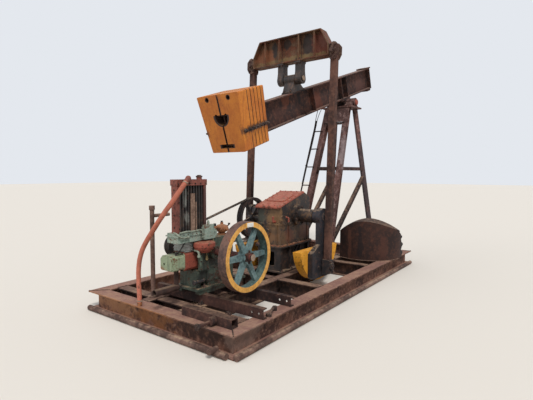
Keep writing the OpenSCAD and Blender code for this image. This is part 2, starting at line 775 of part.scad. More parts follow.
// Grooved pulley about the Y axis, from y = 0
module pulley(d, w, n) {
    step = (w - 12) / n;
    rotate([-90, 0, 0]) rotate_extrude($fn = 96) polygon(concat([[d / 2 - 34, 0], [d / 2, 0]],
        [for (i = [0:n - 1]) for (p = [[d / 2, 6 + i * step + 2], [d / 2 - 18, 6 + i * step + 8],
            [d / 2 - 18, 6 + (i + 1) * step - 8], [d / 2, 6 + (i + 1) * step - 2]]) p],
        [[d / 2, w], [d / 2 - 34, w]]));
}

module reducer_sheave() {
    y0 = belt_mid - sheave_w / 2;
    color("dimgray") translate([sheave_x, 0, sheave_z]) {
        translate([0, y0, 0]) pulley(sheave_d, sheave_w, groove_n);
        bar_y(0, 0, box_w / 2 - 55, y0 + sheave_w - 10, input_d);
        bar_y(0, 0, y0 + 5, y0 + sheave_w - 5, 130);
        for (i = [0:4]) rotate([0, i * 72 + 20, 0])
            block([40, y0 + sheave_w / 2 - 14, -22], [sheave_d / 2 - 30, y0 + sheave_w / 2 + 14, 22]);
    }
}

module belt_loop(y) {
    r1 = sheave_d / 2 - 3;
    r2 = drive_d / 2 - 3;
    dx = sheave_x + engine_x;
    dz = sheave_z - engine_z;
    run = norm([dx, dz]);
    tilt = atan2(dz, dx);
    translate([-engine_x, y, engine_z]) rotate([0, -tilt, 0]) rotate([90, 0, 0])
        linear_extrude(11, center = true) difference() {
            hull() {
                circle(r = r2 + 4, $fn = 64);
                translate([run, 0]) circle(r = r1 + 4, $fn = 96);
            }
            hull() {
                circle(r = r2 - 6, $fn = 64);
                translate([run, 0]) circle(r = r1 - 6, $fn = 96);
            }
        }
}

module drive_belts() {
    color("black") for (i = [0:groove_n - 1])
        belt_loop(belt_mid + (i - (groove_n - 1) / 2) * groove_step);
}

// Engine casing on a flanged bed, with an open arch at its foot and bosses for the crankshaft
module crankcase() {
    d = eng_y1 - eng_y0;
    color("seagreen") difference() {
        union() {
            translate([ex, eng_y1, 0]) rotate([90, 0, 0]) linear_extrude(d)
                polygon([[-210, bed_top], [-182, bed_top], [-182, bed_top + 66], [-70, bed_top + 66],
                    [-70, bed_top], [340, bed_top], [340, case_top - 50], [300, case_top],
                    [-120, case_top], [-135, case_top - 20], [-135, cyl_z - 108], [-210, cyl_z - 122]]);
            bar_y(ex, engine_z, eng_y0 - 60, eng_y1 + 60, 148);
            bar_y(ex, engine_z, eng_y0 - 14, eng_y1 + 14, 176);
            block([ex - 262, eng_y0 - 42, bed_top - flange_h], [ex + 520, eng_y1 + 42, bed_top]);
            for (y = [eng_y0 - 30, eng_y1 - 40])
                block([ex - 220, y, bed_z], [ex + 480, y + 70, bed_top - flange_h]);
            block([ex - 95, eng_y0 - 9, bed_top + 50], [ex - 110 + 360, eng_y0, cyl_z - 95]);
            block([ex - 215, eng_y0 - 34, cyl_z - 108], [ex - 92, eng_y0, pot_z]);
        }
        bar_y(ex, engine_z, eng_y0 - 61, eng_y1 + 61, engine_shaft_d + 2 * fit);
    }
}

cyl_z = engine_z - 67;             // height of the cylinder's axis
pot_z = cyl_z + 90;                // foot of the red pot on the casing's side
jacket_x1 = ex - 135;
jacket_x0 = jacket_x1 - 213;
head_w_eng = 190;
head_h_eng = 154;

// Square of side d with rounded corners
module soft_square(d, r) {
    intersection() {
        square(d, center = true);
        circle(d = sqrt(2) * d - 2 * (sqrt(2) - 1) * r, $fn = 96);
    }
}

module cylinder_barrel() {
    color("firebrick") translate([jacket_x0, eng_mid_y, cyl_z]) rotate([90, 0, 90]) {
        linear_extrude(jacket_x1 - jacket_x0) soft_square(jacket_d, 46);
        translate([0, 0, 186]) linear_extrude(20) soft_square(jacket_d + 14, 50);
    }
}

// Cylinder head with bevelled edges, the plug hole in its end and the exhaust elbow's flange
module cylinder_head() {
    w = head_w_eng / 2;
    h = head_h_eng / 2;
    x0 = jacket_x0 - 175;
    color("darkseagreen") difference() {
        union() {
            translate([x0 + 18, eng_mid_y, cyl_z]) rotate([90, 0, 90])
                linear_extrude(jacket_x0 - 12 - x0 - 18) polygon([[-w, -h + 14], [-w + 14, -h],
                    [w - 14, -h], [w, -h + 14], [w, h - 22], [w - 22, h], [-w + 22, h], [-w, h - 22]]);
            translate([x0, eng_mid_y, cyl_z]) rotate([90, 0, 90])
                linear_extrude(18) polygon([[-w + 10, -h + 22], [-w + 22, -h + 10], [w - 22, -h + 10],
                    [w - 10, -h + 22], [w - 10, h - 30], [w - 30, h - 10], [-w + 30, h - 10],
                    [-w + 10, h - 30]]);
            translate([jacket_x0 - 12, eng_mid_y, cyl_z]) rotate([90, 0, 90])
                linear_extrude(12) soft_square(jacket_d - 14, 40);
        }
        bar_x(eng_mid_y + 30, cyl_z - 8, x0 - 1, x0 + 14, 30);
        bar_x(eng_mid_y + 30, cyl_z - 8, x0 + 13, x0 + 30, 18);
    }
}

module flywheel() {
    r = flywheel_d / 2;
    y0 = -flywheel_y;
    color("goldenrod") translate([-engine_x, 0, engine_z]) {
        translate([0, y0, 0]) rotate([-90, 0, 0]) rotate_extrude($fn = 96)
            polygon([[r - 55, 0], [r - 6, 0], [r, 6], [r, rim_w - 6], [r - 6, rim_w], [r - 50, rim_w],
                [r - 58, rim_w / 2]]);
        bar_y(0, 0, y0 + 10, y0 + rim_w - 5, 150);
        bar_y(0, 0, y0 - 45, belt_mid + sheave_w / 2 + 20, engine_shaft_d);
        for (i = [0:spoke_n - 1]) rotate([0, i * 360 / spoke_n, 0])
            translate([0, y0 + rim_w / 2 + 18, 0]) rotate([90, 0, 0]) linear_extrude(36)
                polygon([[60, -34], [r - 50, -24], [r - 50, 24], [60, 34]]);
    }
}

module drive_sheave() {
    y0 = belt_mid - sheave_w / 2;
    color("dimgray") translate([-engine_x, y0, engine_z]) difference() {
        union() {
            pulley(drive_d, sheave_w, groove_n);
            bar_y(0, 0, 2, sheave_w - 2, drive_d - 60);
        }
        bar_y(0, 0, -1, sheave_w + 1, engine_shaft_d + 2 * fit);
    }
}

// Lower tank of the radiator, which lies on the casing, with the filler block at its front
module top_tank() {
    y0 = rad_y0 - 12;
    y1 = rad_y0 + 150;
    color("mediumaquamarine") {
        block([tank_x0, y0, case_top], [tank_x1, y1, rad_z0]);
        block([tank_x0 - 14, y0 - 12, rad_z0 - 34], [tank_x1 + 14, y1 + 12, rad_z0 - 22]);
        block([ex - 170, y0 - 52, case_top + 10], [ex - 35, y0 - 12, rad_z0 + 62]);
        block([ex - 170, y0 - 12, rad_z0 - 22], [ex - 35, y0, rad_z0 + 40]);
        translate([ex - 103, y0 - 32, rad_z0 + 62]) cylinder(h = 26, d = 30, $fn = fine_fn);
        bar_x(rad_y0 + 100, case_top + 45, tank_x1, tank_x1 + 110, 34);
        translate([tank_x1 + 110, rad_y0 + 100, case_top]) cylinder(h = 64, d = 42, $fn = fine_fn);
    }
}

// Bowl shaped pot with a lid, seated against the side of the casing on the valve block
module oil_pots() {
    color("firebrick") difference() {
        translate([ex - 160, eng_y0 - 34, pot_z]) rotate_extrude($fn = round_fn)
            polygon([[0, 0], [66, 0], [74, 10], [104, 34], [114, 52], [114, 62], [121, 62], [121, 100],
                [112, 108], [60, 114], [0, 115]]);
        block([ex - 500, eng_y0, 0], [ex + 500, eng_y1, case_top + 1]);
        bar_y(ex, engine_z, eng_y0 - 62, eng_y0 + 1, 179);
    }
}

// Oval housing with a neck and three knobs, on top of the casing
module governor() {
    x = ex + 262;
    y = eng_mid_y - 45;
    color("chocolate") {
        translate([x, y, case_top]) rotate_extrude($fn = fine_fn) polygon([[0, 0], [52, 0], [52, 12],
            [36, 16], [40, 26], [68, 44], [78, 66], [74, 90], [56, 108], [30, 116], [18, 120],
            [18, 140], [0, 142]]);
        bar_x(y, case_top + 92, x - 112, x - 5, 26, fine_fn);
        translate([x - 116, y, case_top + 92]) sphere(d = 40, $fn = 16);
        bar_y(x - 10, case_top + 68, y - 104, y, 34, fine_fn);
    }
}

// Ribbed drum that stands on the cylinder's jacket
module air_drum() {
    z = cyl_z + jacket_d / 2;
    color("gray") translate([jacket_x0 + 70, eng_mid_y, z]) {
        block([-62, -92, 0], [112, 92, 12]);
        translate([0, 0, 12]) rotate_extrude($fn = round_fn) polygon([[0, 0], [98, 0], [104, 8],
            [104, 22], [110, 24], [110, 34], [104, 36], [104, 56], [110, 58], [110, 68], [104, 70],
            [104, 84], [84, case_top - z - 22], [0, case_top - z - 20]]);
    }
}

// Points of the hose's middle line, from the radiator's elbow down to the skid
hose_path = [
    [-2195, -318, 1522], [-2242, -324, 1477], [-2286, -324, 1429], [-2324, -312, 1378],
    [-2351, -288, 1324], [-2369, -252, 1272], [-2379, -211, 1223], [-2384, -168, 1174],
    [-2388, -125, 1126], [-2390, -82, 1077], [-2392, -39, 1028], [-2395, 3, 978],
    [-2397, 45, 929], [-2399, 85, 877], [-2400, 122, 824], [-2400, 153, 766],
    [-2400, 176, 706], [-2400, 191, 642], [-2400, 199, 577], [-2400, 200, 512],
    [-2400, 199, 447], [-2400, 195, 382], [-2400, 191, 317], [-2400, 191, 252]];

rad_x0 = ex - 492;
rad_y0 = eng_y0;
rad_z0 = case_top + 100;
rad_t = 85;
rad_edge = 34;
rad_top_h = 62;
tank_x0 = rad_x0 - 4;
tank_x1 = ex + 40;
// Header tank on two side channels, with a narrow strap down the core and the hose's elbow
module radiator_frame() {
    x1 = rad_x0 + radiator_w;
    z1 = rad_z0 + radiator_h;
    start = hose_path[0];
    bend = start - unit(hose_path[1] - start) * 50;
    inlet = [rad_x0 + 170, rad_y0 + 40, z1 - 24];
    color("indianred") {
        block([rad_x0 - 6, rad_y0 - 8, z1 - rad_top_h], [x1 + 6, rad_y0 + rad_t + 8, z1]);
        for (side = [0, 1]) translate([side * (x1 + rad_x0), 0, 0]) mirror([side, 0, 0]) difference() {
            block([rad_x0, rad_y0, rad_z0], [rad_x0 + rad_edge, rad_y0 + rad_t, z1 - rad_top_h]);
            block([rad_x0 + 8, rad_y0 + 8, rad_z0 - 1],
                [rad_x0 + rad_edge + 1, rad_y0 + rad_t - 8, z1 - rad_top_h]);
        }
        from_to(bend, start) rotate([0, 90, 0]) cylinder(h = norm(start - bend) - fit, d = hose_d + 4, $fn = fine_fn);
        translate(bend) sphere(d = hose_d + 8, $fn = fine_fn);
        from_to(inlet, bend) rotate([0, 90, 0]) cylinder(h = norm(bend - inlet), d = hose_d, $fn = fine_fn);
        translate([x1 - 60, rad_y0 + rad_t / 2, z1]) cylinder(h = 22, d = 58, $fn = fine_fn);
    }
}

// Core between the side channels: a row of upright tubes before and behind the fins
module radiator_core() {
    x0 = rad_x0 + rad_edge;
    x1 = rad_x0 + radiator_w - rad_edge;
    n = 9;
    step = (x1 - x0) / n;
    z1 = rad_z0 + radiator_h - rad_top_h;
    color("dimgray") {
        block([x0, rad_y0 + 30, rad_z0], [x1, rad_y0 + rad_t - 30, z1]);
        for (i = [0:n - 1]) for (y = [rad_y0 + 12, rad_y0 + rad_t - 30])
            block([x0 + (i + 0.28) * step, y, rad_z0], [x0 + (i + 0.72) * step, y + 18, z1]);
    }
}

// Pipe down from the head and out to the engine end, open at its mouth, with its drain under it
module exhaust_pipe() {
    x = jacket_x0 - 42;
    z = bed_top + 28;
    y = eng_mid_y;
    color("saddlebrown") {
        translate([x, y, z]) cylinder(h = cyl_z - head_h_eng / 2 - z, d = 50, $fn = fine_fn);
        translate([x, y, z]) sphere(d = 76, $fn = fine_fn);
        difference() {
            bar_x(y, z, x - 285, x, 72);
            bar_x(y, z, x - 286, x - 90, 58);
        }
    }
}

stand_x = ex - 320;
stand_y = inner_y + 50;
module standpipe() {
    color("saddlebrown") {
        translate([stand_x, stand_y, skid_h]) cylinder(h = 1033, d = 50, $fn = fine_fn);
        translate([stand_x, stand_y, skid_h]) cylinder(h = 12, d = 130, $fn = fine_fn);
        translate([stand_x, stand_y, skid_h + 985]) cylinder(h = 48, d = 64, $fn = fine_fn);
        bar_x(stand_y, skid_h + 918, stand_x, stand_x + 240, 40);
    }
}

module hose_union() {
    foot = hose_path[len(hose_path) - 1];
    color("dimgray") translate([foot[0], foot[1], skid_h]) {
        cylinder(h = 22, d = 50, $fn = 6);
        translate([0, 0, 22]) cylinder(h = foot[2] - skid_h - 22, d = hose_d, $fn = fine_fn);
    }
}

function unit(v) = v / norm(v);
function along(path, i) = unit(path[min(i + 1, len(path) - 1)] - path[max(i - 1, 0)]);

// Closed tube of n sides swept along a path
module swept_tube(path, d, n) {
    ring = [for (i = [0:len(path) - 1]) let (t = along(path, i), a = unit(cross(t, [0.3, 1, 0])),
        b = cross(t, a)) for (k = [0:n - 1]) path[i] + (a * cos(360 * k / n) + b * sin(360 * k / n)) * d / 2];
    last = (len(path) - 1) * n;
    sides = [for (i = [0:len(path) - 2]) for (k = [0:n - 1]) [i * n + k, i * n + (k + 1) % n,
        (i + 1) * n + (k + 1) % n, (i + 1) * n + k]];
    polyhedron(ring, concat([[for (k = [n - 1:-1:0]) k]], sides, [[for (k = [0:n - 1]) last + k]]));
}

module hose() {
    color("salmon") swept_tube(hose_path, hose_d, 10);
}

head_c = [1635, -650];
head_turn = 194;                   // direction that the middle of the horsehead's face looks in

// Everything under the arched edge of the face, t below it
module under_arch(t) {
    rotate([0, 0, head_turn]) rotate([90, 0, 90]) translate([0, 0, -head_r])
        linear_extrude(2 * head_r) polygon(concat([[-head_r, 0]], [for (i = [-12:12])
            let (x = i * head_r / 12) [x, head_w - t - (i < 0 ? 1.15 : 0.62) * x * x / 1000]],
            [[head_r, 0]]));
}

// Horsehead on its side: a curved face between its two side plates, the upper one arched
module horsehead() {
    sector = concat([[0, 0]], [for (a = [146:15.5:270]) [cos(a), sin(a)] * head_r * 1.2]);
    color("saddlebrown") translate([head_c[0], head_c[1], skid_h]) difference() {
        intersection() {
            cylinder(h = head_w, r = head_r, $fn = 96);
            linear_extrude(head_w) polygon(sector);
            under_arch(0);
        }
        intersection() {
            translate([0, 0, head_t]) cylinder(h = head_w, r = head_r - head_t, $fn = 96);
            under_arch(head_t);
        }
    }
}

side_beams();
end_beams();
inner_beams();
cross_beams();
edge_pipes();
engine_rails();
take_up();
rear_legs();
front_legs();
leg_braces();
post_cap();
ladder();
gearbox_stand();
gearbox_case();
gearbox_cover();
walking_beam();
saddle_hub();
tail_block();
front_weight();
weight_plates();
weight_clamps();
equalizer();
hangers();
pitmans();
pitman_clevises();
wrist_bearings();
crankshaft();
cranks();
crank_weights();
reducer_sheave();
drive_belts();
crankcase();
cylinder_barrel();  // cylinder
cylinder_head();
flywheel();
drive_sheave();
top_tank();
oil_pots();
governor();
air_drum();
radiator_frame();
radiator_core();
exhaust_pipe();
standpipe();
hose_union();
hose();
horsehead();
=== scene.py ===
"""Looks of the beam pumping unit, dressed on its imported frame."""

import math

import bpy
import numpy as np
from mathutils import Euler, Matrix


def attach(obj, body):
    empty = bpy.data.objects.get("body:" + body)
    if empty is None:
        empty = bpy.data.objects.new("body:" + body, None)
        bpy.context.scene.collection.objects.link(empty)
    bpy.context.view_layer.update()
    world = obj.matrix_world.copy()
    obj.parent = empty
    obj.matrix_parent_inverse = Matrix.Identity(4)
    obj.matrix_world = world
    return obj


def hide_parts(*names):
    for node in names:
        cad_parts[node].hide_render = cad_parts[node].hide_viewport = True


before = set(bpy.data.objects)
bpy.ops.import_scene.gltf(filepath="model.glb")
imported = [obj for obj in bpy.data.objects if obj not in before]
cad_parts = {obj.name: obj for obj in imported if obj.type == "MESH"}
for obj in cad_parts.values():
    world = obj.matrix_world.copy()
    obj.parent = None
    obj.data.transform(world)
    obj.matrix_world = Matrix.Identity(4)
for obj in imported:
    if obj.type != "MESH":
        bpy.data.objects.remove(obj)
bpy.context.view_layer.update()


def axis_of(node):
    """X and Z of the axis that a CAD node turns on, which is the middle of its box."""
    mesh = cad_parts[node].data
    points = np.empty(3 * len(mesh.vertices), np.float32)
    mesh.vertices.foreach_get("co", points)
    points = points.reshape(-1, 3)
    x, _, z = (points.min(0) + points.max(0)).astype(float) / 2
    return x, z


# Turning axes as (x, z) in metres, and the walking beam's slope at rest
SADDLE = (1.9, 2.88)
CRANKSHAFT = axis_of("crankshaft")
ENGINE_SHAFT = axis_of("flywheel")
SHEAVE_SHAFT = axis_of("reducer_sheave")
TILT = math.radians(18.4)


# Colours, written as they look on screen, from 0 to 255


def light_of(colour):
    """Shares of red, green and blue light, from 0 to 1, that a shader takes for a colour."""
    shares = (level / 255 for level in colour)
    return tuple(share / 12.92 if share <= 0.04045 else ((share + 0.055) / 1.055) ** 2.4
                 for share in shares)


def darker(colour, share):
    """Colour that returns a share of the light of another, down to about level 10."""
    return tuple(255 * (1.055 * (share * light) ** (1 / 2.4) - 0.055) for light in light_of(colour))


# Shader maths


class Sock:
    """A shader socket that stands in Python sums, differences, products and powers."""

    def __init__(self, coat, out):
        self.coat = coat
        self.out = out

    def _math(self, operation, first, second):
        return self.coat.node("ShaderNodeMath", {"operation": operation}, {0: first, 1: second})

    def __add__(self, other):
        return self._math("ADD", self, other)

    def __radd__(self, other):
        return self._math("ADD", other, self)

    def __sub__(self, other):
        return self._math("SUBTRACT", self, other)

    def __rsub__(self, other):
        return self._math("SUBTRACT", other, self)

    def __mul__(self, other):
        return self._math("MULTIPLY", self, other)

    def __rmul__(self, other):
        return self._math("MULTIPLY", other, self)

    def __pow__(self, other):
        return self._math("POWER", self, other)

    def __abs__(self):
        return self.coat.node("ShaderNodeMath", {"operation": "ABSOLUTE"}, {0: self})

    def high(self, other):
        """The higher of two values."""
        return self._math("MAXIMUM", self, other)


class Coat:
    """One finish: its nodes, and the patterns that wear and dirt are made from."""

    def __init__(self, name):
        self.material = bpy.data.materials.new(name)
        self.material.use_nodes = True
        self.tree = self.material.node_tree
        self.tree.nodes.clear()
        place = self.tree.nodes.new("ShaderNodeTexCoord")
        self.where = Sock(self, place.outputs["Object"])
        self.facing = Sock(self, place.outputs["Normal"])

    def node(self, kind, settings=None, sockets=None, out=0):
        """Makes a node, sets what it is first, and then gives its sockets values or links."""
        made = self.tree.nodes.new(kind)
        for key, value in (settings or {}).items():
            setattr(made, key, value)
        for key, value in (sockets or {}).items():
            self.feed(made.inputs[key], value)
        return Sock(self, made.outputs[out])

    def feed(self, socket, value):
        """Links a socket, or sets its number or its colour."""
        if isinstance(value, Sock):
            self.tree.links.new(value.out, socket)
        elif socket.type == "RGBA":
            socket.default_value = (*light_of(value), 1)
        else:
            socket.default_value = value

    def noise(self, scale, detail=4, roughness=0.6, stretch=None, shift=(0, 0, 0)):
        """Cloudy pattern from 0 to 1; it is drawn out along an axis whose stretch is below 1."""
        spot = self.where
        if stretch or any(shift):
            spot = self.node("ShaderNodeMapping", None,
                             {"Vector": spot, "Location": shift, "Scale": stretch or (1, 1, 1)})
        return self.node("ShaderNodeTexNoise", None,
                         {"Vector": spot, "Scale": scale, "Detail": detail, "Roughness": roughness})

    def step(self, value, start, end):
        """0 below start, 1 above end, and a smooth rise between."""
        return self.node("ShaderNodeMapRange", {"interpolation_type": "SMOOTHSTEP"},
                         {"Value": value, "From Min": start, "From Max": end})

    def fall(self, value, start, end):
        """1 below start, 0 above end, and a smooth drop between."""
        return 1 - self.step(value, start, end)

    def mix(self, share, under, over):
        """Colour over laid on colour under by a share from 0 to 1."""
        return self.node("ShaderNodeMix", {"data_type": "RGBA", "clamp_factor": True},
                         {0: share, 6: under, 7: over}, out=2)

    def part(self, vector, axis):
        """One coordinate of a vector, by its letter."""
        return self.node("ShaderNodeSeparateXYZ", None, {0: vector}, out=axis)

    def patch(self, centre, reach):
        """Spot that fades out at its reach along each axis, its edge broken up by noise."""
        off = self.node("ShaderNodeVectorMath", {"operation": "SUBTRACT"}, {0: self.where, 1: centre})
        off = self.node("ShaderNodeVectorMath", {"operation": "DIVIDE"}, {0: off, 1: reach})
        far = self.node("ShaderNodeVectorMath", {"operation": "LENGTH"}, {0: off}, out=1)
        return self.fall(far + (self.noise(8, 8, 0.7, shift=centre) - 0.5) * 2.6, 0.62, 1.08)

    def patched(self, colour, patches):
        """Lays patches on the colour: each has its centre, its reach, its colour and how much of it."""
        for centre, reach, over, share in patches:
            colour = self.mix(self.patch(centre, reach) * share, colour, over)
        return colour

    def done(self, colour, roughness, bump=None, depth=0.002, specular=0.3):
        """Ends the coat in a shader whose bump is depth metres deep, and gives the material."""
        inputs = {"Base Color": colour, "Roughness": roughness, "Specular IOR Level": specular}
        if bump is not None:
            inputs["Normal"] = self.node("ShaderNodeBump", None,
                                         {"Height": bump, "Strength": 0.7, "Distance": depth})
        shader = self.node("ShaderNodeBsdfPrincipled", None, inputs)
        end = self.tree.nodes.new("ShaderNodeOutputMaterial")
        self.tree.links.new(shader.out, end.inputs["Surface"])
        return self.material


DARK_RUST = (62, 40, 33)
RUST = (112, 66, 44)
PALE_RUST = (150, 104, 78)
GRIME = (30, 26, 25)
DUST = (176, 146, 116)


def rusted(name, main, deep=DARK_RUST, pale=PALE_RUST, pale_share=0.45, grime=0.4, dust=0.5,
           grain=1.0, top=None, pits=0.35, patches=()):
    """Bare rust: clouds of three browns, black stains that run down, dust on what faces up."""
    coat = Coat(name)
    broad = coat.noise(2.3 * grain, 6, 0.62)
    fine = coat.noise(17 * grain, 8, 0.68, shift=(3, 1, 2))
    speck = coat.noise(95 * grain, 3, 0.6)
    colour = coat.mix(coat.step(broad * 0.6 + fine * 0.4, 0.40, 0.62), deep, main)
    colour = coat.mix(coat.step(fine * 0.65 + speck * 0.35, 0.50, 0.66) * pale_share, colour, pale)
    runs = coat.noise(9, 5, 0.6, stretch=(1, 1, 0.22), shift=(7, 2, 0))
    colour = coat.mix(coat.step(runs, 0.50, 0.70) * grime, colour, GRIME)
    colour = coat.patched(colour, patches)
    colour = coat.mix(coat.step(speck, 0.56, 0.70) * pits, colour, deep)
    up = coat.step(coat.part(coat.facing, "Z"), 0.55, 0.9)
    if top is not None:
        colour = coat.mix(up * 0.75, colour, top)
    colour = coat.mix(up * coat.step(broad * 0.5 + fine * 0.5, 0.42, 0.62) * dust, colour, DUST)
    return coat.done(colour, 0.86, fine * 0.5 + speck * 0.5, 0.0035)


def painted(name, paint, shade, under=RUST, worn=0.3, grime=0.3, dust=0.3, grain=1.0, roughness=0.62,
            patches=()):
    """Old paint in two shades, worn to rust with a dark rim; stains run down, and dust lies above."""
    coat = Coat(name)
    broad = coat.noise(3.1 * grain, 5, 0.6)
    fine = coat.noise(21 * grain, 8, 0.66, shift=(2, 5, 1))
    speck = coat.noise(120 * grain, 2, 0.5)
    colour = coat.mix(coat.step(broad * 0.5 + fine * 0.5, 0.38, 0.62), shade, paint)
    level = broad * 0.42 + fine * 0.42 + speck * 0.16
    edge = 0.62 - 0.22 * worn
    chip = coat.step(level, edge, edge + 0.04)
    rim = coat.step(level, edge - 0.035, edge + 0.01)
    bare = coat.mix(coat.step(fine, 0.4, 0.62), darker(under, 0.5), under)
    colour = coat.mix(rim * 0.5, colour, darker(under, 0.4))
    colour = coat.mix(chip, colour, bare)
    colour = coat.patched(colour, patches)
    runs = coat.noise(11, 5, 0.62, stretch=(1, 1, 0.2), shift=(1, 8, 3))
    colour = coat.mix(coat.step(runs, 0.48, 0.70) * grime, colour, GRIME)
    up = coat.step(coat.part(coat.facing, "Z"), 0.6, 0.92)
    colour = coat.mix(up * coat.step(fine, 0.40, 0.58) * dust, colour, DUST)
    return coat.done(colour, roughness + 0.22 * chip, speck * 0.3 + fine * 0.4 - 0.5 * chip, 0.0025)


def greasy(name, main, stain=GRIME, earth=(121, 90, 58), earthy=0.5, foot=(0.3, 0.9), roughness=0.6,
           patches=()):
    """Iron black with oil: earth sticks to it in patches, more towards the two heights of its foot."""
    coat = Coat(name)
    broad = coat.noise(4.2, 6, 0.62)
    fine = coat.noise(24, 8, 0.68, shift=(4, 4, 4))
    speck = coat.noise(110, 3, 0.55)
    low = coat.fall(coat.part(coat.where, "Z"), *foot)
    colour = coat.mix(coat.step(broad, 0.36, 0.62), stain, main)
    patch = coat.step(broad * 0.55 + fine * 0.45 + low * 0.07, 0.50, 0.60)
    colour = coat.mix(patch * earthy, colour, earth)
    colour = coat.mix(coat.step(fine * 0.6 + speck * 0.4, 0.52, 0.66) * 0.5, colour, RUST)
    colour = coat.patched(colour, patches)
    runs = coat.noise(8, 5, 0.6, stretch=(1, 1, 0.15), shift=(5, 0, 0))
    colour = coat.mix(coat.step(runs, 0.46, 0.66) * 0.7, colour, stain)
    up = coat.step(coat.part(coat.facing, "Z"), 0.6, 0.92)
    colour = coat.mix(up * coat.step(fine, 0.40, 0.60) * 0.55, colour, DUST)
    return coat.done(colour, roughness, fine * 0.6 + speck * 0.4, 0.003, specular=0.45)


SKID = rusted(
    "skid_rust", (132, 92, 74), deep=(70, 48, 41), pale=(172, 134, 112), pale_share=0.7, grime=0.4,
    dust=0.35, grain=1.5, top=(138, 100, 88), pits=0.6, patches=[
        ((-2.48, 0.72, 0.12), (0.20, 0.60, 0.17), (172, 124, 88), 0.75),
        ((-2.48, 0.02, 0.12), (0.20, 0.50, 0.17), (152, 100, 60), 0.7),
        ((-2.48, -0.66, 0.12), (0.20, 0.46, 0.15), (58, 42, 36), 0.9),
        ((-2.25, -1.10, 0.12), (0.40, 0.16, 0.15), (128, 106, 94), 0.6),
    ])
INNER = rusted(
    "inner_rust", (84, 58, 48), deep=(42, 31, 28), pale=(126, 94, 76), grime=0.7, dust=0.5,
    top=(108, 80, 68), pits=0.5)
PIPE = rusted("pipe_rust", (122, 94, 82), deep=(72, 53, 46), pale=(160, 134, 116), grime=0.25, dust=0.5)
EXHAUST = rusted(
    "exhaust_rust", (62, 44, 38), deep=(36, 28, 26), pale=(104, 80, 70), grime=0.5, dust=0.3)
RAIL = rusted("rail_rust", (78, 51, 43), deep=(42, 29, 27), pale=(116, 82, 70), grime=0.6, dust=0.22)
POST = rusted(
    "post_rust", (116, 80, 72), deep=(70, 49, 45), pale=(156, 134, 128), pale_share=0.7, grime=0.4,
    dust=0.2, patches=[
        ((2.22, 0, 1.55), (0.22, 1.2, 1.5), (66, 58, 60), 0.75),
        ((1.52, -0.32, 1.95), (0.20, 0.2, 0.45), (158, 142, 140), 0.5),
        ((1.45, 0.32, 1.80), (0.20, 0.2, 0.40), (74, 56, 54), 0.6),
    ])
BRACE = rusted("brace_rust", (72, 50, 44), deep=(38, 29, 27), pale=(110, 84, 76), grime=0.5)
BEAM = rusted(
    "beam_rust", (80, 50, 41), deep=(40, 29, 28), pale=(124, 84, 64), pale_share=0.5, grime=0.8,
    dust=0.2, top=(112, 88, 80), patches=[
        ((0.95, 0, 2.80), (0.24, 0.3, 0.16), (96, 52, 38), 0.7),
        ((1.55, 0, 3.02), (0.12, 0.3, 0.25), (104, 58, 42), 0.6),
        ((2.6, 0, 3.36), (0.25, 0.3, 0.2), (92, 60, 52), 0.6),
        ((0.36, 0, 2.92), (0.04, 0.3, 0.07), (30, 24, 25), 0.9),
        ((0.39, 0, 2.82), (0.04, 0.3, 0.08), (30, 24, 25), 0.9),
        ((0.42, 0, 2.72), (0.04, 0.3, 0.07), (30, 24, 25), 0.9),
        ((0.02, 0, 2.68), (0.16, 0.3, 0.12), (108, 60, 42), 0.6),
    ])
TAIL_IRON = greasy("tail_iron", (62, 48, 42), earth=(104, 82, 62), earthy=0.35, foot=(2.4, 2.9))
PITMAN = rusted("pitman_rust", (96, 64, 52), deep=(54, 38, 34), pale=(122, 90, 74), grime=0.6, dust=0.1)
HORSEHEAD = rusted(
    "horsehead_rust", (68, 42, 33), deep=(40, 27, 24), pale=(96, 58, 42), pale_share=0.45, grime=0.4,
    dust=0.3, patches=[
        # Painted shade: the torn edge is laid over in near black.
        ((1.88, -1.17, 0.42), (0.22, 0.08, 0.34), (24, 19, 18), 0.95),
        ((1.12, -0.74, 0.44), (0.09, 0.05, 0.34), (34, 26, 26), 0.8),
        ((1.10, -0.56, 0.44), (0.09, 0.04, 0.30), (96, 60, 46), 0.6),
        ((1.27, -1.07, 0.40), (0.09, 0.09, 0.20), (74, 44, 34), 0.7),
    ])
EQUALIZER = painted(
    "equalizer_paint", (124, 92, 62), (96, 70, 52), under=(104, 62, 44), worn=0.6, grime=0.45, dust=0.2,
    roughness=0.7, patches=[
        ((0.19, 0.48, 3.40), (0.08, 0.22, 0.16), (124, 76, 50), 0.85),
        ((0.19, -0.50, 3.44), (0.08, 0.22, 0.17), (104, 58, 46), 0.9),
        ((0.19, 0.29, 3.50), (0.08, 0.06, 0.15), (42, 38, 36), 0.9),
        ((0.19, 0.07, 3.52), (0.08, 0.07, 0.10), (46, 40, 36), 0.85),
        ((0.19, -0.28, 3.46), (0.08, 0.10, 0.17), (44, 38, 36), 0.9),
        ((0.19, 0.0, 3.295), (0.08, 0.75, 0.05), (124, 102, 68), 0.7),
        ((0.19, 0.0, 3.64), (0.2, 0.8, 0.035), (44, 38, 36), 0.8),
    ])
CLEVIS = painted(
    "clevis_paint", (132, 104, 84), (96, 74, 62), under=(74, 50, 44), worn=0.6, grime=0.5, dust=0.2,
    roughness=0.7)
MOON = painted(
    "moon_yellow", (226, 158, 48), (196, 130, 38), under=(96, 58, 36), worn=0.12, grime=0.3, dust=0.1)
COVER = painted(
    "cover_salmon", (180, 98, 78), (142, 76, 60), under=(92, 56, 44), worn=0.35, grime=0.3, dust=0.2)
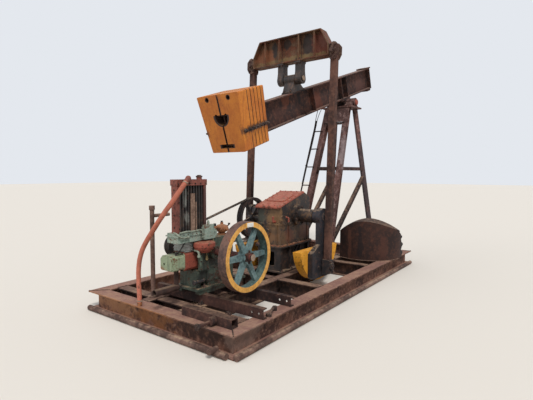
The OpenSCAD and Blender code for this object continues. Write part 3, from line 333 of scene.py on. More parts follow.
GEARBOX = greasy(
    "gearbox_grease", (50, 42, 39), earthy=0.5, foot=(0.6, 1.0), patches=[
        ((-0.36, -0.08, 1.0), (0.05, 0.15, 0.20), (140, 104, 64), 0.55),
        ((-0.36, 0.13, 0.98), (0.05, 0.09, 0.14), (84, 86, 72), 0.5),
        ((-0.36, 0.0, 0.70), (0.05, 0.18, 0.08), (132, 92, 58), 0.5),
        ((-0.15, -0.2, 0.72), (0.14, 0.04, 0.12), (104, 62, 46), 0.6),
        ((0.25, -0.2, 0.74), (0.16, 0.04, 0.13), (98, 60, 46), 0.5),
        ((0.03, 0.0, 0.594), (0.60, 0.40, 0.016), (156, 98, 70), 0.8),
    ])
STAND = greasy("stand_grease", (44, 38, 37), earth=(96, 74, 58), earthy=0.35, foot=(0.2, 0.5))
BEARING = greasy("bearing_grease", (40, 38, 42), earth=(70, 58, 50), earthy=0.3)
CRANK = greasy("crank_blue", (34, 36, 44), stain=(22, 21, 24), earth=(62, 52, 48), earthy=0.3)
SHAFT = rusted("shaft_steel", (82, 66, 60), deep=(48, 40, 38), pale=(124, 104, 92))
SHEAVE = greasy("sheave_iron", (46, 42, 42), earth=(92, 72, 60), earthy=0.35)
ENGINE = painted(
    "engine_green", (92, 106, 90), (54, 62, 54), under=(78, 54, 42), worn=0.5, grime=0.75, dust=0.45,
    roughness=0.55, grain=1.5, patches=[
        ((-1.93, -0.29, 0.50), (0.16, 0.05, 0.10), (38, 40, 37), 0.8),
        ((-1.70, -0.28, 0.66), (0.20, 0.05, 0.10), (44, 46, 42), 0.7),
        ((-1.99, -0.30, 0.72), (0.06, 0.06, 0.09), (104, 122, 106), 0.7),
    ])
TANK = painted(
    "tank_green", (170, 183, 167), (112, 128, 116), under=(112, 74, 54), worn=0.35, grime=0.45,
    dust=0.5, grain=2)
RED_IRON = painted(
    "oxide_red", (166, 84, 66), (128, 66, 53), under=(84, 54, 44), worn=0.35, grime=0.35, dust=0.4,
    grain=2)
DRUM = painted(
    "drum_grey", (176, 178, 172), (128, 130, 126), under=(96, 66, 54), worn=0.35, grime=0.4, dust=0.4,
    grain=2)
MINT = painted(
    "mint_head", (158, 170, 138), (122, 134, 108), under=(112, 74, 48), worn=0.3, grime=0.35, dust=0.3,
    grain=2, patches=[
        ((-2.31, -0.06, 0.60), (0.03, 0.09, 0.06), (126, 78, 46), 0.9),
        ((-2.22, -0.24, 0.61), (0.12, 0.04, 0.05), (96, 70, 52), 0.7),
    ])
ORANGE_IRON = painted(
    "valve_orange", (184, 120, 76), (126, 80, 54), under=(84, 50, 36), worn=0.4, grime=0.4, grain=3)
RADIATOR = painted(
    "radiator_brown", (144, 82, 68), (108, 62, 52), under=(76, 50, 44), worn=0.35, grime=0.35, dust=0.2,
    patches=[
        ((-1.88, -0.25, 1.22), (0.05, 0.12, 0.32), (66, 46, 42), 0.85),
        ((-2.25, -0.27, 1.10), (0.05, 0.05, 0.16), (104, 60, 52), 0.7),
    ])
CORE = greasy(
    "core_dark", (48, 42, 38), earth=(98, 80, 64), earthy=0.3, patches=[
        ((-2.15, -0.25, 1.38), (0.035, 0.05, 0.12), (150, 150, 142), 0.6),
        ((-2.13, -0.25, 1.15), (0.03, 0.05, 0.08), (140, 140, 132), 0.5),
    ])
BLACK_RUBBER = greasy("belt_rubber", (38, 34, 34), earth=(92, 76, 64), earthy=0.2, roughness=0.8)
HOSE = painted(
    "hose_salmon", (184, 110, 88), (156, 88, 68), under=(110, 72, 58), worn=0.1, grime=0.25, dust=0.1,
    roughness=0.7)

# The stack of weights, measured from the saddle along the beam: its front face and its plates' joints
WEIGHT_FACE = -3.26
PLATES_FROM = -3.095
PLATE_PITCH = 0.068
# What is cut into it, as heights square to the beam, distances from the middle and radii
SLIT_HALF = 0.011
CUP_HEIGHT, CUP_RADIUS = 0.456, 0.120
SLOT_LOW, SLOT_HIGH, SLOT_HALF = 0.064, 0.114, 0.116
HOLE_HEIGHT, HOLE_SIDE, HOLE_RADIUS = 0.671, 0.17, 0.029
OPENING_HALF, OPENING_TOP = 0.114, 0.69
CLAMP_HEIGHT, WEIGHT_HALF = 0.258, 0.27


def weight_coat():
    """Orange paint with upright streaks, black in the plates' joints, and painted shade on the front
    face, in its cuts and in its openings.
    """
    coat = Coat("weight_orange")
    x, z = coat.part(coat.where, "X") - SADDLE[0], coat.part(coat.where, "Z") - SADDLE[1]
    along = x * math.cos(TILT) + z * math.sin(TILT)
    high = z * math.cos(TILT) - x * math.sin(TILT)
    side = abs(coat.part(coat.where, "Y"))
    broad = coat.noise(3.1, 5, 0.6)
    fine = coat.noise(26, 8, 0.66, shift=(2, 5, 1))
    speck = coat.noise(120, 2, 0.5)
    colour = coat.mix(coat.step(broad * 0.6 + fine * 0.4, 0.38, 0.62),
                      (176, 98, 34), (202, 124, 42))
    lines = coat.noise(26, 5, 0.62, stretch=(1, 1, 0.07))
    colour = coat.mix(coat.step(lines, 0.48, 0.68) * 0.5, colour, (140, 76, 34))
    front = coat.fall(along, WEIGHT_FACE + 0.002, WEIGHT_FACE + 0.004)
    # Painted shade: the front face is darkened a little.
    colour = coat.mix(front * 0.30, colour, (150, 84, 40))
    colour = coat.mix(coat.step(fine, 0.60, 0.68) * 0.6, colour, (104, 56, 32))

    joint = coat.node("ShaderNodeMath", {"operation": "PINGPONG"},
                      {0: along - PLATES_FROM, 1: PLATE_PITCH / 2})
    joint = coat.fall(joint + (fine - 0.5) * 0.012, 0.004, 0.009)
    plates = coat.step(along, PLATES_FROM - 0.02, PLATES_FROM - 0.018)
    colour = coat.mix(joint * plates * 0.85, colour, (44, 32, 28))

    # Painted shade: the slit, the cup, the slot and the holes of the front face are painted dark.
    slit = coat.fall(side + (fine - 0.5) * 0.012, SLIT_HALF, SLIT_HALF + 0.006)
    from_cup = (side ** 2 + (high - CUP_HEIGHT) ** 2) ** 0.5 + (fine - 0.5) * 0.016
    cup = (coat.fall(from_cup, CUP_RADIUS, CUP_RADIUS + 0.007)
           * coat.fall(high, CUP_HEIGHT + 0.018, CUP_HEIGHT + 0.022))
    slot = (coat.fall(side, SLOT_HALF, SLOT_HALF + 0.006) * coat.step(high, SLOT_LOW, SLOT_LOW + 0.004)
            * coat.fall(high, SLOT_HIGH, SLOT_HIGH + 0.004))
    from_hole = ((side - HOLE_SIDE) ** 2 + (high - HOLE_HEIGHT) ** 2) ** 0.5
    hole = coat.fall(from_hole + (fine - 0.5) * 0.01, HOLE_RADIUS, HOLE_RADIUS + 0.006)
    colour = coat.mix(front * slit.high(cup).high(slot).high(hole), colour, (52, 38, 34))
    # Painted shade on the faces behind the front face, within its opening and its holes.
    inside_shade = (coat.fall(side, OPENING_HALF, OPENING_HALF + 0.004) * (1 - front)
              * coat.fall(high, OPENING_TOP, OPENING_TOP + 0.01))
    inside_shade = inside_shade.high(coat.fall(from_hole, HOLE_RADIUS + 0.001, HOLE_RADIUS + 0.005) * (1 - front))
    colour = coat.mix(inside_shade, colour, (58, 40, 34))

    screws = (coat.fall(abs(high - CLAMP_HEIGHT) + (fine - 0.5) * 0.12, 0.02, 0.05)
              * coat.step(side, WEIGHT_HALF - 0.02, WEIGHT_HALF))
    colour = coat.mix(screws * 0.7, colour, (70, 48, 38))
    up = coat.step(coat.part(coat.facing, "Z"), 0.6, 0.92)
    colour = coat.mix(up * coat.step(fine, 0.42, 0.58) * 0.35, colour, (206, 146, 88))
    return coat.done(colour, 0.58, fine * 0.5 + speck * 0.3)


# Radii of the flywheel and its depth across the unit, where one paint gives way to the next
HUB_END = 0.050
RIM_BORE = 0.300
RIM_BACK = 0.316
TREAD = 0.3595
RIM_FACE_Y = -0.797


def flywheel_coat():
    """Yellow rim, brown tread and back, teal spokes, a teal bore darkened as painted shade, red-brown
    hub, by radius and depth.
    """
    coat = Coat("flywheel_paint")
    x, z = (coat.part(coat.where, letter) - centre for letter, centre in zip("XZ", ENGINE_SHAFT))
    radius = (x * x + z * z) ** 0.5
    broad = coat.noise(5, 5, 0.6)
    fine = coat.noise(34, 7, 0.66)
    level = broad * 0.45 + fine * 0.55
    yellow = coat.mix(coat.step(level, 0.40, 0.58), (190, 134, 62), (214, 160, 78))
    teal = coat.mix(coat.step(level, 0.40, 0.60), (66, 86, 88), (106, 128, 126))
    # The bore's teal paint is real; its darkness, below the spokes' teal, is painted shade.
    bore = coat.mix(coat.step(level, 0.38, 0.62), (46, 62, 60), (84, 104, 98))
    tread = coat.mix(coat.step(level, 0.38, 0.60), (62, 46, 42), (110, 82, 70))
    hub = coat.mix(coat.step(level, 0.42, 0.58), (54, 36, 34), (112, 62, 52))
    rim = coat.step(radius, RIM_BORE, RIM_BORE + 0.004)
    behind = coat.step(coat.part(coat.where, "Y"), RIM_FACE_Y, RIM_FACE_Y + 0.002)
    colour = coat.mix(rim, teal, yellow)
    colour = coat.mix(behind * rim, colour,
                      coat.mix(coat.step(radius, RIM_BACK, RIM_BACK + 0.0015), bore, tread))
    colour = coat.mix(coat.step(radius, TREAD, TREAD + 0.001), colour, tread)
    colour = coat.mix(coat.fall(radius, HUB_END, HUB_END + 0.004), colour, hub)
    chip = coat.step(level, 0.60, 0.64)
    colour = coat.mix(chip, colour, coat.mix(coat.step(fine, 0.4, 0.6), DARK_RUST, RUST))
    runs = coat.noise(11, 5, 0.6, shift=(4, 0, 0))
    colour = coat.mix(coat.step(runs, 0.52, 0.70) * 0.45, colour, GRIME)
    return coat.done(colour, 0.58 + 0.25 * chip, fine)


COATS = {
    SKID: ["side_beams", "end_beams"],
    INNER: ["inner_beams", "cross_beams"],
    PIPE: ["edge_pipes", "standpipe"],
    RAIL: ["engine_rails", "take_up"],
    POST: ["rear_legs", "front_legs", "post_cap"],
    BRACE: ["leg_braces", "ladder"],
    GEARBOX: ["gearbox_case"],
    STAND: ["gearbox_stand"],
    COVER: ["gearbox_cover"],
    BEAM: ["walking_beam", "saddle_hub"],
    TAIL_IRON: ["tail_block", "hangers"],
    weight_coat(): ["front_weight", "weight_plates"],
    SHAFT: ["weight_clamps", "crankshaft"],
    EQUALIZER: ["equalizer"],
    CLEVIS: ["pitman_clevises"],
    PITMAN: ["pitmans"],
    BEARING: ["wrist_bearings"],
    CRANK: ["cranks"],
    MOON: ["crank_weights"],
    SHEAVE: ["reducer_sheave", "drive_sheave"],
    BLACK_RUBBER: ["drive_belts"],
    flywheel_coat(): ["flywheel"],
    ENGINE: ["crankcase"],
    RED_IRON: ["cylinder", "oil_pots"],
    MINT: ["cylinder_head"],
    TANK: ["top_tank"],
    DRUM: ["air_drum"],
    ORANGE_IRON: ["governor", "hose_union"],
    EXHAUST: ["exhaust_pipe"],
    RADIATOR: ["radiator_frame"],
    CORE: ["radiator_core"],
    HOSE: ["hose"],
    HORSEHEAD: ["horsehead"],
}
for finish, node_names in COATS.items():
    for node_name in node_names:
        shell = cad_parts[node_name].data
        shell.materials.clear()
        shell.materials.append(finish)


# Surfaces worked out with numpy: each is a pair, its points and its groups of faces


def ring_faces(rows, sides):
    """Four-sided faces between each closed ring of points and the next."""
    base = np.arange(rows - 1)[:, None] * sides
    here = np.arange(sides)[None, :]
    after = (here + 1) % sides
    corners = [base + here, base + after, base + after + sides, base + here + sides]
    return np.stack(corners, -1).reshape(-1, 4)


def closed(rings):
    """Surface over rings of points, each joined to the next, with a flat face on the first and last."""
    rows, sides = rings.shape[:2]
    first = np.arange(sides)[None]
    last = first + (rows - 1) * sides
    return rings.reshape(-1, 3), [ring_faces(rows, sides), first[:, ::-1], last]


def lathe(profile, sides=24):
    """Surface of revolution about Z: each (radius, height) of the profile becomes a ring
    (radius cos a, radius sin a, height)."""
    radius, height = np.array(profile, float).T[..., None]
    angle = np.linspace(0, 2 * np.pi, sides, endpoint=False)
    return closed(np.stack([radius * np.cos(angle), radius * np.sin(angle), height + 0 * angle], -1))


def unit(vectors):
    """The same directions, each one metre long."""
    return vectors / np.linalg.norm(vectors, axis=-1, keepdims=True)


def tube(path, radius, sides=10, beside=(0.3, 1.0, 0.17)):
    """Tube along a path: at each point a ring radius (a cos t + b sin t), where a and b are square to
    the path and to each other. The radius may change along it, and the path never runs along beside."""
    path = np.array(path, float)
    along = unit(np.gradient(path, axis=0))
    first = unit(np.cross(along, beside))
    second = np.cross(along, first)
    angle = np.linspace(0, 2 * np.pi, sides, endpoint=False)[None, :, None]
    radius = np.broadcast_to(radius, len(path))[:, None, None]
    around = first[:, None] * np.cos(angle) + second[:, None] * np.sin(angle)
    return closed(path[:, None] + radius * around)


def smooth_path(points, count=60):
    """Smooth line through the points: each coordinate is a Catmull-Rom cubic between neighbours."""
    points = np.array(points, float)
    ends = np.concatenate([[2 * points[0] - points[1]], points, [2 * points[-1] - points[-2]]])
    at = np.linspace(0, len(points) - 1, count)
    stretch = np.minimum(at.astype(int), len(points) - 2)
    t = (at - stretch)[:, None]
    a, b, c, d = (ends[stretch + k] for k in range(4))
    return 0.5 * (2 * b + (c - a) * t + (2 * a - 5 * b + 4 * c - d) * t ** 2
                  + (3 * b - a - 3 * c + d) * t ** 3)


def slab(outline, low, high):
    """Flat plate: the outline's points (x, y), counter-clockwise, at two heights."""
    return closed(np.stack([np.c_[outline, np.full(len(outline), z)] for z in (low, high)]))


def block(low, high):
    """Box between two corners."""
    return slab([(low[0], low[1]), (high[0], low[1]), (high[0], high[1]), (low[0], high[1])],
                low[2], high[2])


def together(shapes):
    """Several closed surfaces as one."""
    points, faces, base = [], [], 0
    for some_points, some_faces in shapes:
        points.append(some_points)
        faces += [group + base for group in some_faces]
        base += len(some_points)
    return np.concatenate(points), faces


def turned(axis, about=(0, 0, 1)):
    """Rotation that carries Z onto the axis: its columns are two directions square to it, and it."""
    z, about = unit(np.array(axis, float)), unit(np.array(about, float))
    x = unit(np.cross(about if abs(z @ about) < 0.9 else (1, 0, 0), z))
    return np.stack([x, np.cross(z, x), z], -1)


def placed(shape, at, axis=(0, 0, 1), about=(0, 0, 1)):
    """Closed surface made about Z, turned so that Z runs along the axis, and then moved."""
    points, faces = shape
    return points @ turned(axis, about).T + np.array(at, float), faces


def stamped(shape, places, axis=(0, 0, 1)):
    """The same closed surface placed at each point, all worked out as one array."""
    points, faces = placed(shape, (0, 0, 0), axis)
    places = np.array(places, float)
    shift = (np.arange(len(places)) * len(points))[:, None, None]
    return ((points + places[:, None]).reshape(-1, 3),
            [(group + shift).reshape(-1, group.shape[1]) for group in faces])


def piece(name, finish, body, slot, *shapes, round_under=40):
    """Puts closed surfaces into one mesh object that rides on a body of the frame, with edges that
    turn by less than round_under degrees shaded smooth."""
    points, faces = together(shapes)
    counts = np.concatenate([np.full(len(group), group.shape[1]) for group in faces])
    corners = np.concatenate([group.ravel() for group in faces]).astype(np.int32)
    mesh = bpy.data.meshes.new(name)
    mesh.vertices.add(len(points))
    mesh.vertices.foreach_set("co", points.astype(np.float32).ravel())
    mesh.loops.add(len(corners))
    mesh.loops.foreach_set("vertex_index", corners)
    mesh.polygons.add(len(counts))
    starts = np.concatenate([[0], np.cumsum(counts)[:-1]]).astype(np.int32)
    mesh.polygons.foreach_set("loop_start", starts)
    mesh.update(calc_edges=True)
    mesh.validate()
    mesh.polygons.foreach_set("use_smooth", np.ones(len(mesh.polygons), bool))
    mesh.set_sharp_from_angle(angle=math.radians(round_under))
    mesh.materials.append(finish)
    made = bpy.data.objects.new(name, mesh)
    bpy.context.scene.collection.objects.link(made)
    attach(made, body)
    return made


# The ribbed hose, from the radiator's elbow down to the union on the skid

HOSE_ROUTE = [(-2.195, -0.318, 1.522), (-2.242, -0.324, 1.477), (-2.286, -0.324, 1.429),
              (-2.324, -0.312, 1.378), (-2.351, -0.288, 1.324), (-2.369, -0.252, 1.272),
              (-2.379, -0.211, 1.223), (-2.384, -0.168, 1.174), (-2.388, -0.125, 1.126),
              (-2.39, -0.082, 1.077), (-2.392, -0.039, 1.028), (-2.395, 0.003, 0.978),
              (-2.397, 0.045, 0.929), (-2.399, 0.085, 0.877), (-2.4, 0.122, 0.824),
              (-2.4, 0.153, 0.766), (-2.4, 0.176, 0.706), (-2.4, 0.191, 0.642),
              (-2.4, 0.199, 0.577), (-2.4, 0.2, 0.512), (-2.4, 0.199, 0.447),
              (-2.4, 0.195, 0.382), (-2.4, 0.191, 0.317), (-2.4, 0.191, 0.252)]
HOSE_RIBS = 150
POINTS_PER_RIB = 5
HOSE_RADIUS, RIB_DEPTH = 0.0243, 0.0013

hose_line = smooth_path(HOSE_ROUTE, HOSE_RIBS * POINTS_PER_RIB + 1)
ribs = HOSE_RADIUS + RIB_DEPTH * np.cos(np.linspace(0, 2 * np.pi * HOSE_RIBS, len(hose_line)))
hose = piece("ribbed_hose", HOSE, "base", "hose_salmon", tube(hose_line, ribs, 20), round_under=60)
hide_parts("hose")


# Finishes of the bolts, welds and fittings

BOLT = rusted(
    "bolt_rust", (82, 60, 52), deep=(38, 30, 28), pale=(132, 106, 92), pale_share=0.6, grime=0.3,
    dust=0.2, grain=4)
WELD = rusted(
    "weld_rust", (74, 54, 47), deep=(36, 28, 26), pale=(118, 92, 78), grime=0.4, dust=0.3, grain=5)
WORN_STEEL = painted(
    "worn_steel", (172, 150, 128), (128, 106, 90), under=(92, 62, 48), worn=0.3, grime=0.3, dust=0.1,
    grain=5)
BRASS = painted(
    "dull_brass", (176, 152, 104), (122, 102, 68), under=(70, 56, 40), worn=0.25, grime=0.4, dust=0.1,
    grain=6, roughness=0.45)
PALE_PIPE = painted(
    "pale_pipe", (170, 178, 160), (122, 132, 116), under=(92, 70, 52), worn=0.4, grime=0.4, dust=0.2,
    grain=6)
STRAP = rusted(
    "strap_tan", (142, 114, 96), deep=(96, 74, 62), pale=(178, 150, 128), grime=0.15, dust=0.3, grain=3)
LABEL = painted(
    "bare_label", (226, 224, 216), (196, 192, 184), under=(140, 128, 112), worn=0.0, grime=0.12,
    dust=0.1, grain=8)
BLACK_LINE = greasy("black_line", (34, 33, 35), earth=(60, 54, 50), earthy=0.2)


# Places on the unit, in metres

LEFT, RIGHT, UP, DOWN, BACK, AHEAD = (0, 1, 0), (0, -1, 0), (0, 0, 1), (0, 0, -1), (-1, 0, 0), (1, 0, 0)
LID_SLOPE = math.radians(16.78)
LID_NOSE_X, LID_NOSE_Z = -0.357, 1.14
SKID_TOP = 0.2125


def on_beam(along, side, high):
    """Point given in the walking beam's own frame, whose origin is the saddle bearing."""
    return (SADDLE[0] + along * math.cos(TILT) - high * math.sin(TILT), side,
            SADDLE[1] + along * math.sin(TILT) + high * math.cos(TILT))


# Tail bearing, which carries the hangers, and from there the equalizer's foot and the pitmans' pins
TAIL_ALONG = -1.581
TAIL_X, _, TAIL_Z = on_beam(TAIL_ALONG, 0, 0.65)
TAIL = (TAIL_X, TAIL_Z)
EQUALIZER_FOOT = TAIL_Z + 0.245
PIN_Z = TAIL_Z + 0.29
CRANK_THROW = 0.69
PIN_OVER, PIN_RISE = TAIL_X - CRANKSHAFT[0], PIN_Z - (CRANKSHAFT[1] - CRANK_THROW)
LEAN = math.atan2(PIN_OVER, PIN_RISE)
PITMAN_LENGTH = math.hypot(PIN_OVER, PIN_RISE)

BEAM_UP = (-math.sin(TILT), 0, math.cos(TILT))
BEAM_AHEAD = (math.cos(TILT), 0, math.sin(TILT))
LID_UP = (-math.sin(LID_SLOPE), 0, math.cos(LID_SLOPE))
PITMAN_AHEAD = (math.cos(LEAN), 0, -math.sin(LEAN))
PITMAN_BACK = (-math.cos(LEAN), 0, math.sin(LEAN))


def on_pitman(along, side, high):
    """Point given in the pitmans' frame, whose origin is the upper pin and whose Z runs up the bar."""
    return (TAIL_X + along * math.cos(LEAN) + high * math.sin(LEAN), side,
            PIN_Z - along * math.sin(LEAN) + high * math.cos(LEAN))


def on_wrist(along, side, high):
    """Point given in the pitmans' frame from the wrist at their foot."""
    return on_pitman(along, side, high - PITMAN_LENGTH)


def on_lid(along, side, high):
    """Point given on the gearbox's sloping lid, from its nose up the slope."""
    return (LID_NOSE_X + along * math.cos(LID_SLOPE) - high * math.sin(LID_SLOPE), side,
            LID_NOSE_Z + along * math.sin(LID_SLOPE) + high * math.cos(LID_SLOPE))


def on_axis(axis, y):
    """Point of a turning axis at a distance across the unit."""
    return axis[0], y, axis[1]


def both(places):
    """The same points on both sides of the unit."""
    places = np.atleast_2d(np.array(places, float))
    return np.concatenate([places, places * (1, -1, 1)])


def both_ends(fitting, axis, y):
    """The same fitting at both ends of a shaft, each turned outwards."""
    return together([fitting(on_axis(axis, y), LEFT), fitting(on_axis(axis, -y), RIGHT)])


def row(x, y, z, count):
    """Points spread evenly along the coordinate that is given as a pair, its start and its end."""
    start, end = np.transpose([np.broadcast_to(value, 2) for value in (x, y, z)])
    return np.linspace(start, end, count)


def grid(x, y, z):
    """Every point whose coordinates are among the values given."""
    return [(a, b, c) for a in np.atleast_1d(x) for b in np.atleast_1d(y) for c in np.atleast_1d(z)]


def ring(centre, radius, count, axis=1, turn=0.0):
    """Points spread evenly on a circle about a centre, square to one axis."""
    angle = turn + np.linspace(0, 2 * np.pi, count, endpoint=False)
    spots = np.tile(np.array(centre, float), (count, 1))
    first, second = (k for k in range(3) if k != axis)
    spots[:, first] += radius * np.cos(angle)
    spots[:, second] += radius * np.sin(angle)
    return spots


# Kinds of fitting, each placed by points and the direction that it faces


def hexagon(across, height):
    """Bolt head or nut about Z: a six-sided lathe with its upper edge broken."""
    r = across / math.sqrt(3)
    return lathe([(r, 0), (r, height * 0.82), (r * 0.86, height)], 6)


def bolt(across, stud=0.0):
    """Washer, head or nut, and the end of a stud when stud gives how far it stands out."""
    shapes = [lathe([(across * 0.68, 0), (across * 0.68, across * 0.10)], 16),
              placed(hexagon(across, across * 0.66), (0, 0, across * 0.10))]
    if stud:
        end = lathe([(across * 0.3, 0), (across * 0.3, stud * 0.9), (across * 0.24, stud)], 10)
        shapes.append(placed(end, (0, 0, across * 0.7)))
    return together(shapes)


def bolts(across, places, axis, stud=0.0):
    """The same bolt at each point, its head facing along the axis."""
    return stamped(bolt(across, stud), places, axis)


def weld(start, end, radius=0.005):
    """Bead of weld metal: a tube whose radius ripples along it as a cosine, with a slow wander."""
    start, end = np.array(start, float), np.array(end, float)
    length = np.linalg.norm(end - start)
    at = np.linspace(0, 1, max(int(length / 0.009), 6))
    ripple = 0.16 * np.cos(at * length * 520)
    wander = 0.12 * np.sin(at * length * 67 + start[0] * 9)
    path = start + at[:, None] * (end - start)
    return tube(path, radius * (1 + ripple + wander), 7, (0.31, 0.52, 0.8))


def pipe(points, radius, sides=10, count=40):
    """Smooth round line through a few points."""
    return tube(smooth_path(points, count), radius, sides)


def disc(radius, height, at, axis, edge=0.002):
    """Low round boss with its outer edge broken."""
    boss = lathe([(radius, 0), (radius, height - edge), (radius - edge, height)], 28)
    return placed(boss, at, axis)


# Gearbox, whose flanges have these tops: on its stand's feet, round its foot and round its rim

STAND_TOP, FOOT_TOP, RIM_TOP = 0.232, 0.602, 0.907
STAND_SIDE, FOOT_SIDE, RIM_SIDE = 0.216, 0.212, 0.2072
FOOT_FRONT, RIM_FRONT, BEARING_FACE = -0.3665, -0.3642, 0.26
piece("gearbox_bolts", BOLT, "base", "gearbox_black",
      bolts(0.019, both(row((-0.33, 0.39), FOOT_SIDE, FOOT_TOP, 7)), UP, 0.012),
      bolts(0.013, row(FOOT_FRONT, (-0.15, 0.15), FOOT_TOP, 4), UP),
      bolts(0.012, both(row((-0.33, 0.40), RIM_SIDE, RIM_TOP, 9)), UP),
      bolts(0.012, row(RIM_FRONT, (-0.15, 0.15), RIM_TOP, 5), UP),
      bolts(0.023, ring(on_axis(CRANKSHAFT, -BEARING_FACE), 0.124, 8, turn=0.39), RIGHT, 0.014),
      bolts(0.021, ring(on_axis(CRANKSHAFT, BEARING_FACE), 0.118, 8, turn=0.39), LEFT, 0.014),
      bolts(0.013, ring(on_axis(SHEAVE_SHAFT, -0.218), 0.053, 6, turn=0.3), RIGHT),
      bolts(0.013, ring((-0.377, 0.04, 0.765), 0.047, 6, axis=0), BACK),
      bolts(0.024, both(row((-0.345, 0.408), STAND_SIDE, STAND_TOP, 4)), UP, 0.014))
piece("gearbox_cover_bolts", COVER, "base", "cover_red",
      bolts(0.016, both([on_lid(d, 0.198, 0.02) for d in np.linspace(-0.005, 0.595, 7)]), LID_UP),
      bolts(0.016, [on_lid(d, y, 0.02) for d in (-0.005, 0.595) for y in (-0.1, 0, 0.1)], LID_UP),
      bolts(0.014, both([on_lid(d, 0.138, 0.032) for d in (0.167, 0.29, 0.413)]), LID_UP))
piece("gearbox_fittings", RED_IRON, "base", "cylinder_red",
      pipe([(-0.23, -0.198, 0.985), (-0.23, -0.235, 0.985), (-0.235, -0.25, 0.975),
            (-0.24, -0.252, 0.94)], 0.011),
      disc(0.019, 0.014, (-0.23, -0.2, 0.985), RIGHT),
      disc(0.015, 0.02, (-0.24, -0.252, 0.944), DOWN),
      pipe([(-0.352, -0.1, 0.93), (-0.39, -0.1, 0.93), (-0.402, -0.1, 0.938),
            (-0.402, -0.1, 0.99)], 0.013),
      disc(0.021, 0.016, (-0.357, -0.1, 0.93), BACK),
      disc(0.018, 0.02, (-0.402, -0.1, 0.985), UP))

# Saddle and walking beam

SADDLE_CAP = lathe([(0.054, 0), (0.054, 0.007), (0.045, 0.016), (0.026, 0.022), (0.004, 0.024)], 28)
END_PLATE = 1.187  # inner face of the plate on the beam's forward end, from the saddle
PEDESTAL_HALF = 0.19
PEDESTAL_TOP = 0.476
piece("saddle_bolts", BOLT, "base", "post_steel",
      bolts(0.028, both(grid((1.712, 2.07), 0.19, 2.8)), UP, 0.016))
piece("saddle_end_caps", RED_IRON, "base", "post_steel",
      both_ends(lambda spot, way: placed(SADDLE_CAP, spot, way), SADDLE, 0.274))
piece("tail_block_bolts", BOLT, "beam", "beam_steel",
      bolts(0.026, both([on_beam(TAIL_ALONG + s, 0.058, 0.503) for s in (-0.16, 0.16)]), BEAM_UP, 0.02),
      bolts(0.022, both([on_beam(TAIL_ALONG + s, 0.062, 0.0995) for s in (-0.16, 0.16)]), BEAM_UP),
      bolts(0.022, both([on_beam(s, 0.062, 0.1015) for s in (-0.13, 0.13)]), BEAM_UP))
piece("beam_end_bolts", BOLT, "beam", "beam_steel",
      bolts(0.02, both([on_beam(1.204, 0.06, h) for h in (0.14, 0.28, 0.42)]), BEAM_AHEAD))
piece("beam_welds", WELD, "beam", "beam_steel",
      *(weld(on_beam(s, y, 0.104), on_beam(s, y, 0.454), 0.0045)
        for s in (-1.1325, -0.1225, 0.1165, END_PLATE) for y in (-0.009, 0.009)),
      weld(on_beam(END_PLATE, -0.088, 0.0835), on_beam(END_PLATE, 0.088, 0.0835), 0.005),
      *(weld(on_beam(TAIL_ALONG - PEDESTAL_HALF, y, PEDESTAL_TOP),
             on_beam(TAIL_ALONG + PEDESTAL_HALF, y, PEDESTAL_TOP), 0.005) for y in (-0.0865, 0.0865)))

# Equalizer, pitmans and cranks

piece("hanger_shaft_ends", WORN_STEEL, "equalizer_and_pitmans", "shaft_steel",
      both_ends(lambda spot, way: disc(0.036, 0.009, spot, way), TAIL, 0.214),
      both_ends(lambda spot, way: bolts(0.011, ring(spot, 0.02, 3), way), TAIL, 0.223))
piece("equalizer_bolts", BOLT, "equalizer_and_pitmans", "equalizer_yellow",
      *(bolts(0.022, both([(TAIL_X + x, y, EQUALIZER_FOOT + rise) for x in (-reach, reach)
                           for y in (0.125, 0.185)]), way, stud)
        for reach, rise, way, stud in ((0.066, 0.014, UP, 0.012), (0.069, -0.026, DOWN, 0.0))))
RIB_FOOT, RIB_TOP, WEB_FOOT = EQUALIZER_FOOT + 0.016, EQUALIZER_FOOT + 0.362, EQUALIZER_FOOT + 0.0145
WEB_FACES = (TAIL_X - 0.008, TAIL_X + 0.008)
piece("equalizer_welds", WELD, "equalizer_and_pitmans", "equalizer_yellow",
      *(weld((x, y + side, RIB_FOOT), (x, y + side, RIB_TOP), 0.0045)
        for x in WEB_FACES for y in (-0.17, 0.17) for side in (-0.009, 0.009)),
      *(weld((x, 0.64, WEB_FOOT), (x, -0.64, WEB_FOOT), 0.0045) for x in WEB_FACES))

CHEEK_BOLTS = [(0.748, 0.078), (0.684, 0.092), (0.684, -0.072), (0.744, -0.07)]
PITMAN_Y = 0.716
piece("clevis_bolts", BOLT, "equalizer_and_pitmans", "shaft_steel",
      bolts(0.019, both([on_pitman(-0.0605, y, h) for y, h in CHEEK_BOLTS]), PITMAN_BACK, 0.01),
      bolts(0.019, both([on_pitman(0.0605, y, h) for y, h in CHEEK_BOLTS]), PITMAN_AHEAD),
      stamped(hexagon(0.058, 0.03), both(on_pitman(-0.0905, PITMAN_Y, 0)), PITMAN_BACK),
      stamped(hexagon(0.066, 0.034), both(on_pitman(0.0605, PITMAN_Y, 0)), PITMAN_AHEAD),
      stamped(lathe([(0.004, -0.036), (0.004, 0.036)], 8), both(on_pitman(0.108, PITMAN_Y, 0)), UP))

# Distances across the unit of the wrist bearings' flanges and caps, the cranks and the sheave
WRIST_FLANGE, WRIST_CAP = 0.778, 0.796
CRANK_FACE, CRANKSHAFT_END, INPUT_FACE = 0.65, 0.656, 0.382


def wrist_bolts(side, way):
    """Four nuts on a wrist bearing's flange, and five screws round a boss on its cap."""
    flange = [on_wrist(x, side * WRIST_FLANGE, z) for x in (-0.052, 0.052) for z in (-0.074, 0.074)]
    cap = on_wrist(0, side * WRIST_CAP, 0)
    return together([bolts(0.024, flange, way, 0.012), bolts(0.013, ring(cap, 0.042, 5), way),
                     disc(0.018, 0.006, cap, way)])


